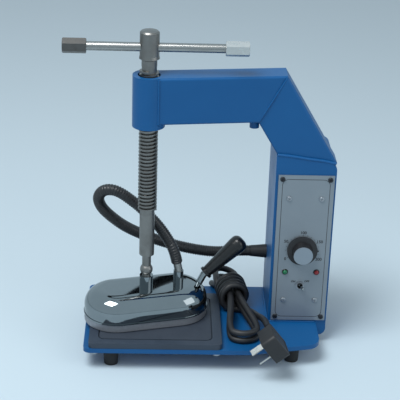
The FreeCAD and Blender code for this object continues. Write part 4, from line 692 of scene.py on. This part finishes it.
bpy.ops.mesh.extrude_region_move(
    TRANSFORM_OT_translate={"value": (0, 0, -CROSS_DEEP / 1000)})
bpy.ops.transform.resize(value=(0.7, 0.7, 1))
bpy.ops.object.mode_set(mode="OBJECT")
screw = bpy.context.active_object
# Browned steel: dark grey, for the corners. The four inner screws are zinc plated.
browned_steel = coat("browned_steel", "#4A4B4E", "#35363A", 2, 0.36, 0.2, 0.4, 0.3, 1)
screw_sets = {
    "corner_screws": ("panel_corner_screws", browned_steel, (141.4, 191.8), (32.4, 195.6)),
    "bracket_screws": ("panel_fixing_screws", zinc_plate, (149.4, 183.8), (53, 173.6))}
for name, (node, metal, columns, rows) in screw_sets.items():
    heads = []
    for x in columns:
        for z in rows:
            start()
            head = screw.copy()
            head.data = screw.data.copy()
            bpy.context.scene.collection.objects.link(head)
            head.select_set(True)
            bpy.context.view_layer.objects.active = head
            heads.append(placed(name, "stand", metal,
                                on_panel(x, z) @ Matrix.Rotation(x + z, 4, "Z")))
    start()
    for head in heads:
        head.select_set(True)
    bpy.context.view_layer.objects.active = heads[0]
    bpy.ops.object.join()
    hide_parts(node)
bpy.data.objects.remove(screw)

# Thermostat knob: a moulded black skirt and grip on the thermostat's spindle, with a
# satin aluminium disc let into its face and a small pointer on the skirt's edge.
knob_moulding = coat("knob_moulding", "#131315", "#1F1F22", 6, 0.34, 0.14, 0.7, 0.25)
finish(knob_moulding, "knob_body", "thermostat", "terminal_block", "toggle_body",
       "lamp_holders")
# Satin aluminium: an even cool grey with a soft sheen and a faint grain
satin_disc = coat("satin_disc", "#84909B", "#909BA4", 12, 0.34, 0.1, 0.3, 0.2, 0.6)
finish(satin_disc, "knob_cap")
KNOB_Z, KNOB_RADIUS, SKIRT_OUT = 113.3, 16.25, 3.6
POINTER_RADIUS, POINTER_TALL, POINTER_EDGE, POINTER_SUNK = 1.9, 2.2, 0.4, 0.3
start()
bpy.ops.mesh.primitive_cylinder_add(vertices=3, radius=POINTER_RADIUS / 1000,
                                    depth=POINTER_TALL / 1000, end_fill_type="NGON",
                                    rotation=(0, 0, -math.pi / 2))
bpy.ops.object.transform_apply(location=True, rotation=True, scale=True)
bpy.ops.object.mode_set(mode="EDIT")
pick("edges", lambda mesh, edge: middle(mesh, edge).z > 0.001)
bpy.ops.mesh.bevel(offset=POINTER_EDGE / 1000, segments=2, affect="EDGES")
placed("knob_pointer", "knob", knob_moulding,
       on_panel(PANEL_X + KNOB_RADIUS - POINTER_SUNK, KNOB_Z, SKIRT_OUT - 1.3))

# Pilot lamps: clear coloured acrylic lenses in black snap-in bezels, green for the mains
# and red for the heater.
# Acrylic: deep colour, glossy, that lets a little light through
for node, name, dark, pale in (("green_lamp", "green_acrylic", "#0E6B45", "#178A58"),
                               ("red_lamp", "red_acrylic", "#8E1A24", "#B0262E")):
    acrylic = coat(name, dark, pale, 2, 0.12, 0.06, 0.8, 0.1)
    acrylic.node_tree.nodes["Principled BSDF"].inputs["IOR"].default_value = 1.49
    acrylic.node_tree.nodes["Principled BSDF"].inputs[
        "Transmission Weight"].default_value = 0.3
    finish(acrylic, node)
LAMP_X, LAMP_Z, LAMP_RADIUS, LAMP_GAP = 17, 87, 2.5, 0.05
BEZEL_TALL, BEZEL_FALL, BEZEL_LIP, BEZEL_RIM = 1, 0.9, 1.18, 1.14
for name, x in (("green_bezel", PANEL_X - LAMP_X), ("red_bezel", PANEL_X + LAMP_X)):
    start()
    bpy.ops.mesh.primitive_cylinder_add(vertices=32, radius=(LAMP_RADIUS + LAMP_GAP) / 1000,
                                        depth=BEZEL_TALL / 1000, end_fill_type="NOTHING",
                                        location=(0, 0, BEZEL_TALL / 2000))
    bpy.ops.object.mode_set(mode="EDIT")
    pick("edges", lambda mesh, edge: middle(mesh, edge).z > BEZEL_TALL / 2500
         and abs(mesh.vertices[edge.vertices[0]].co.z
                 - mesh.vertices[edge.vertices[1]].co.z) < 1e-6)
    for spread in (BEZEL_LIP, BEZEL_RIM):
        bpy.ops.mesh.extrude_region_move()
        bpy.ops.transform.resize(value=(spread, spread, 1),
                                 center_override=(0, 0, BEZEL_TALL / 1000))
    bpy.ops.transform.translate(value=(0, 0, -BEZEL_FALL / 1000))
    placed(name, "stand", knob_moulding, on_panel(x, LAMP_Z), smooth=40)

# The two sizes side by side: the box of the CAD model and that of the dressed one
size = {"cad": [list(corner) for corner in cad_box],
        "visual": [list(corner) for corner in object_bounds()]}
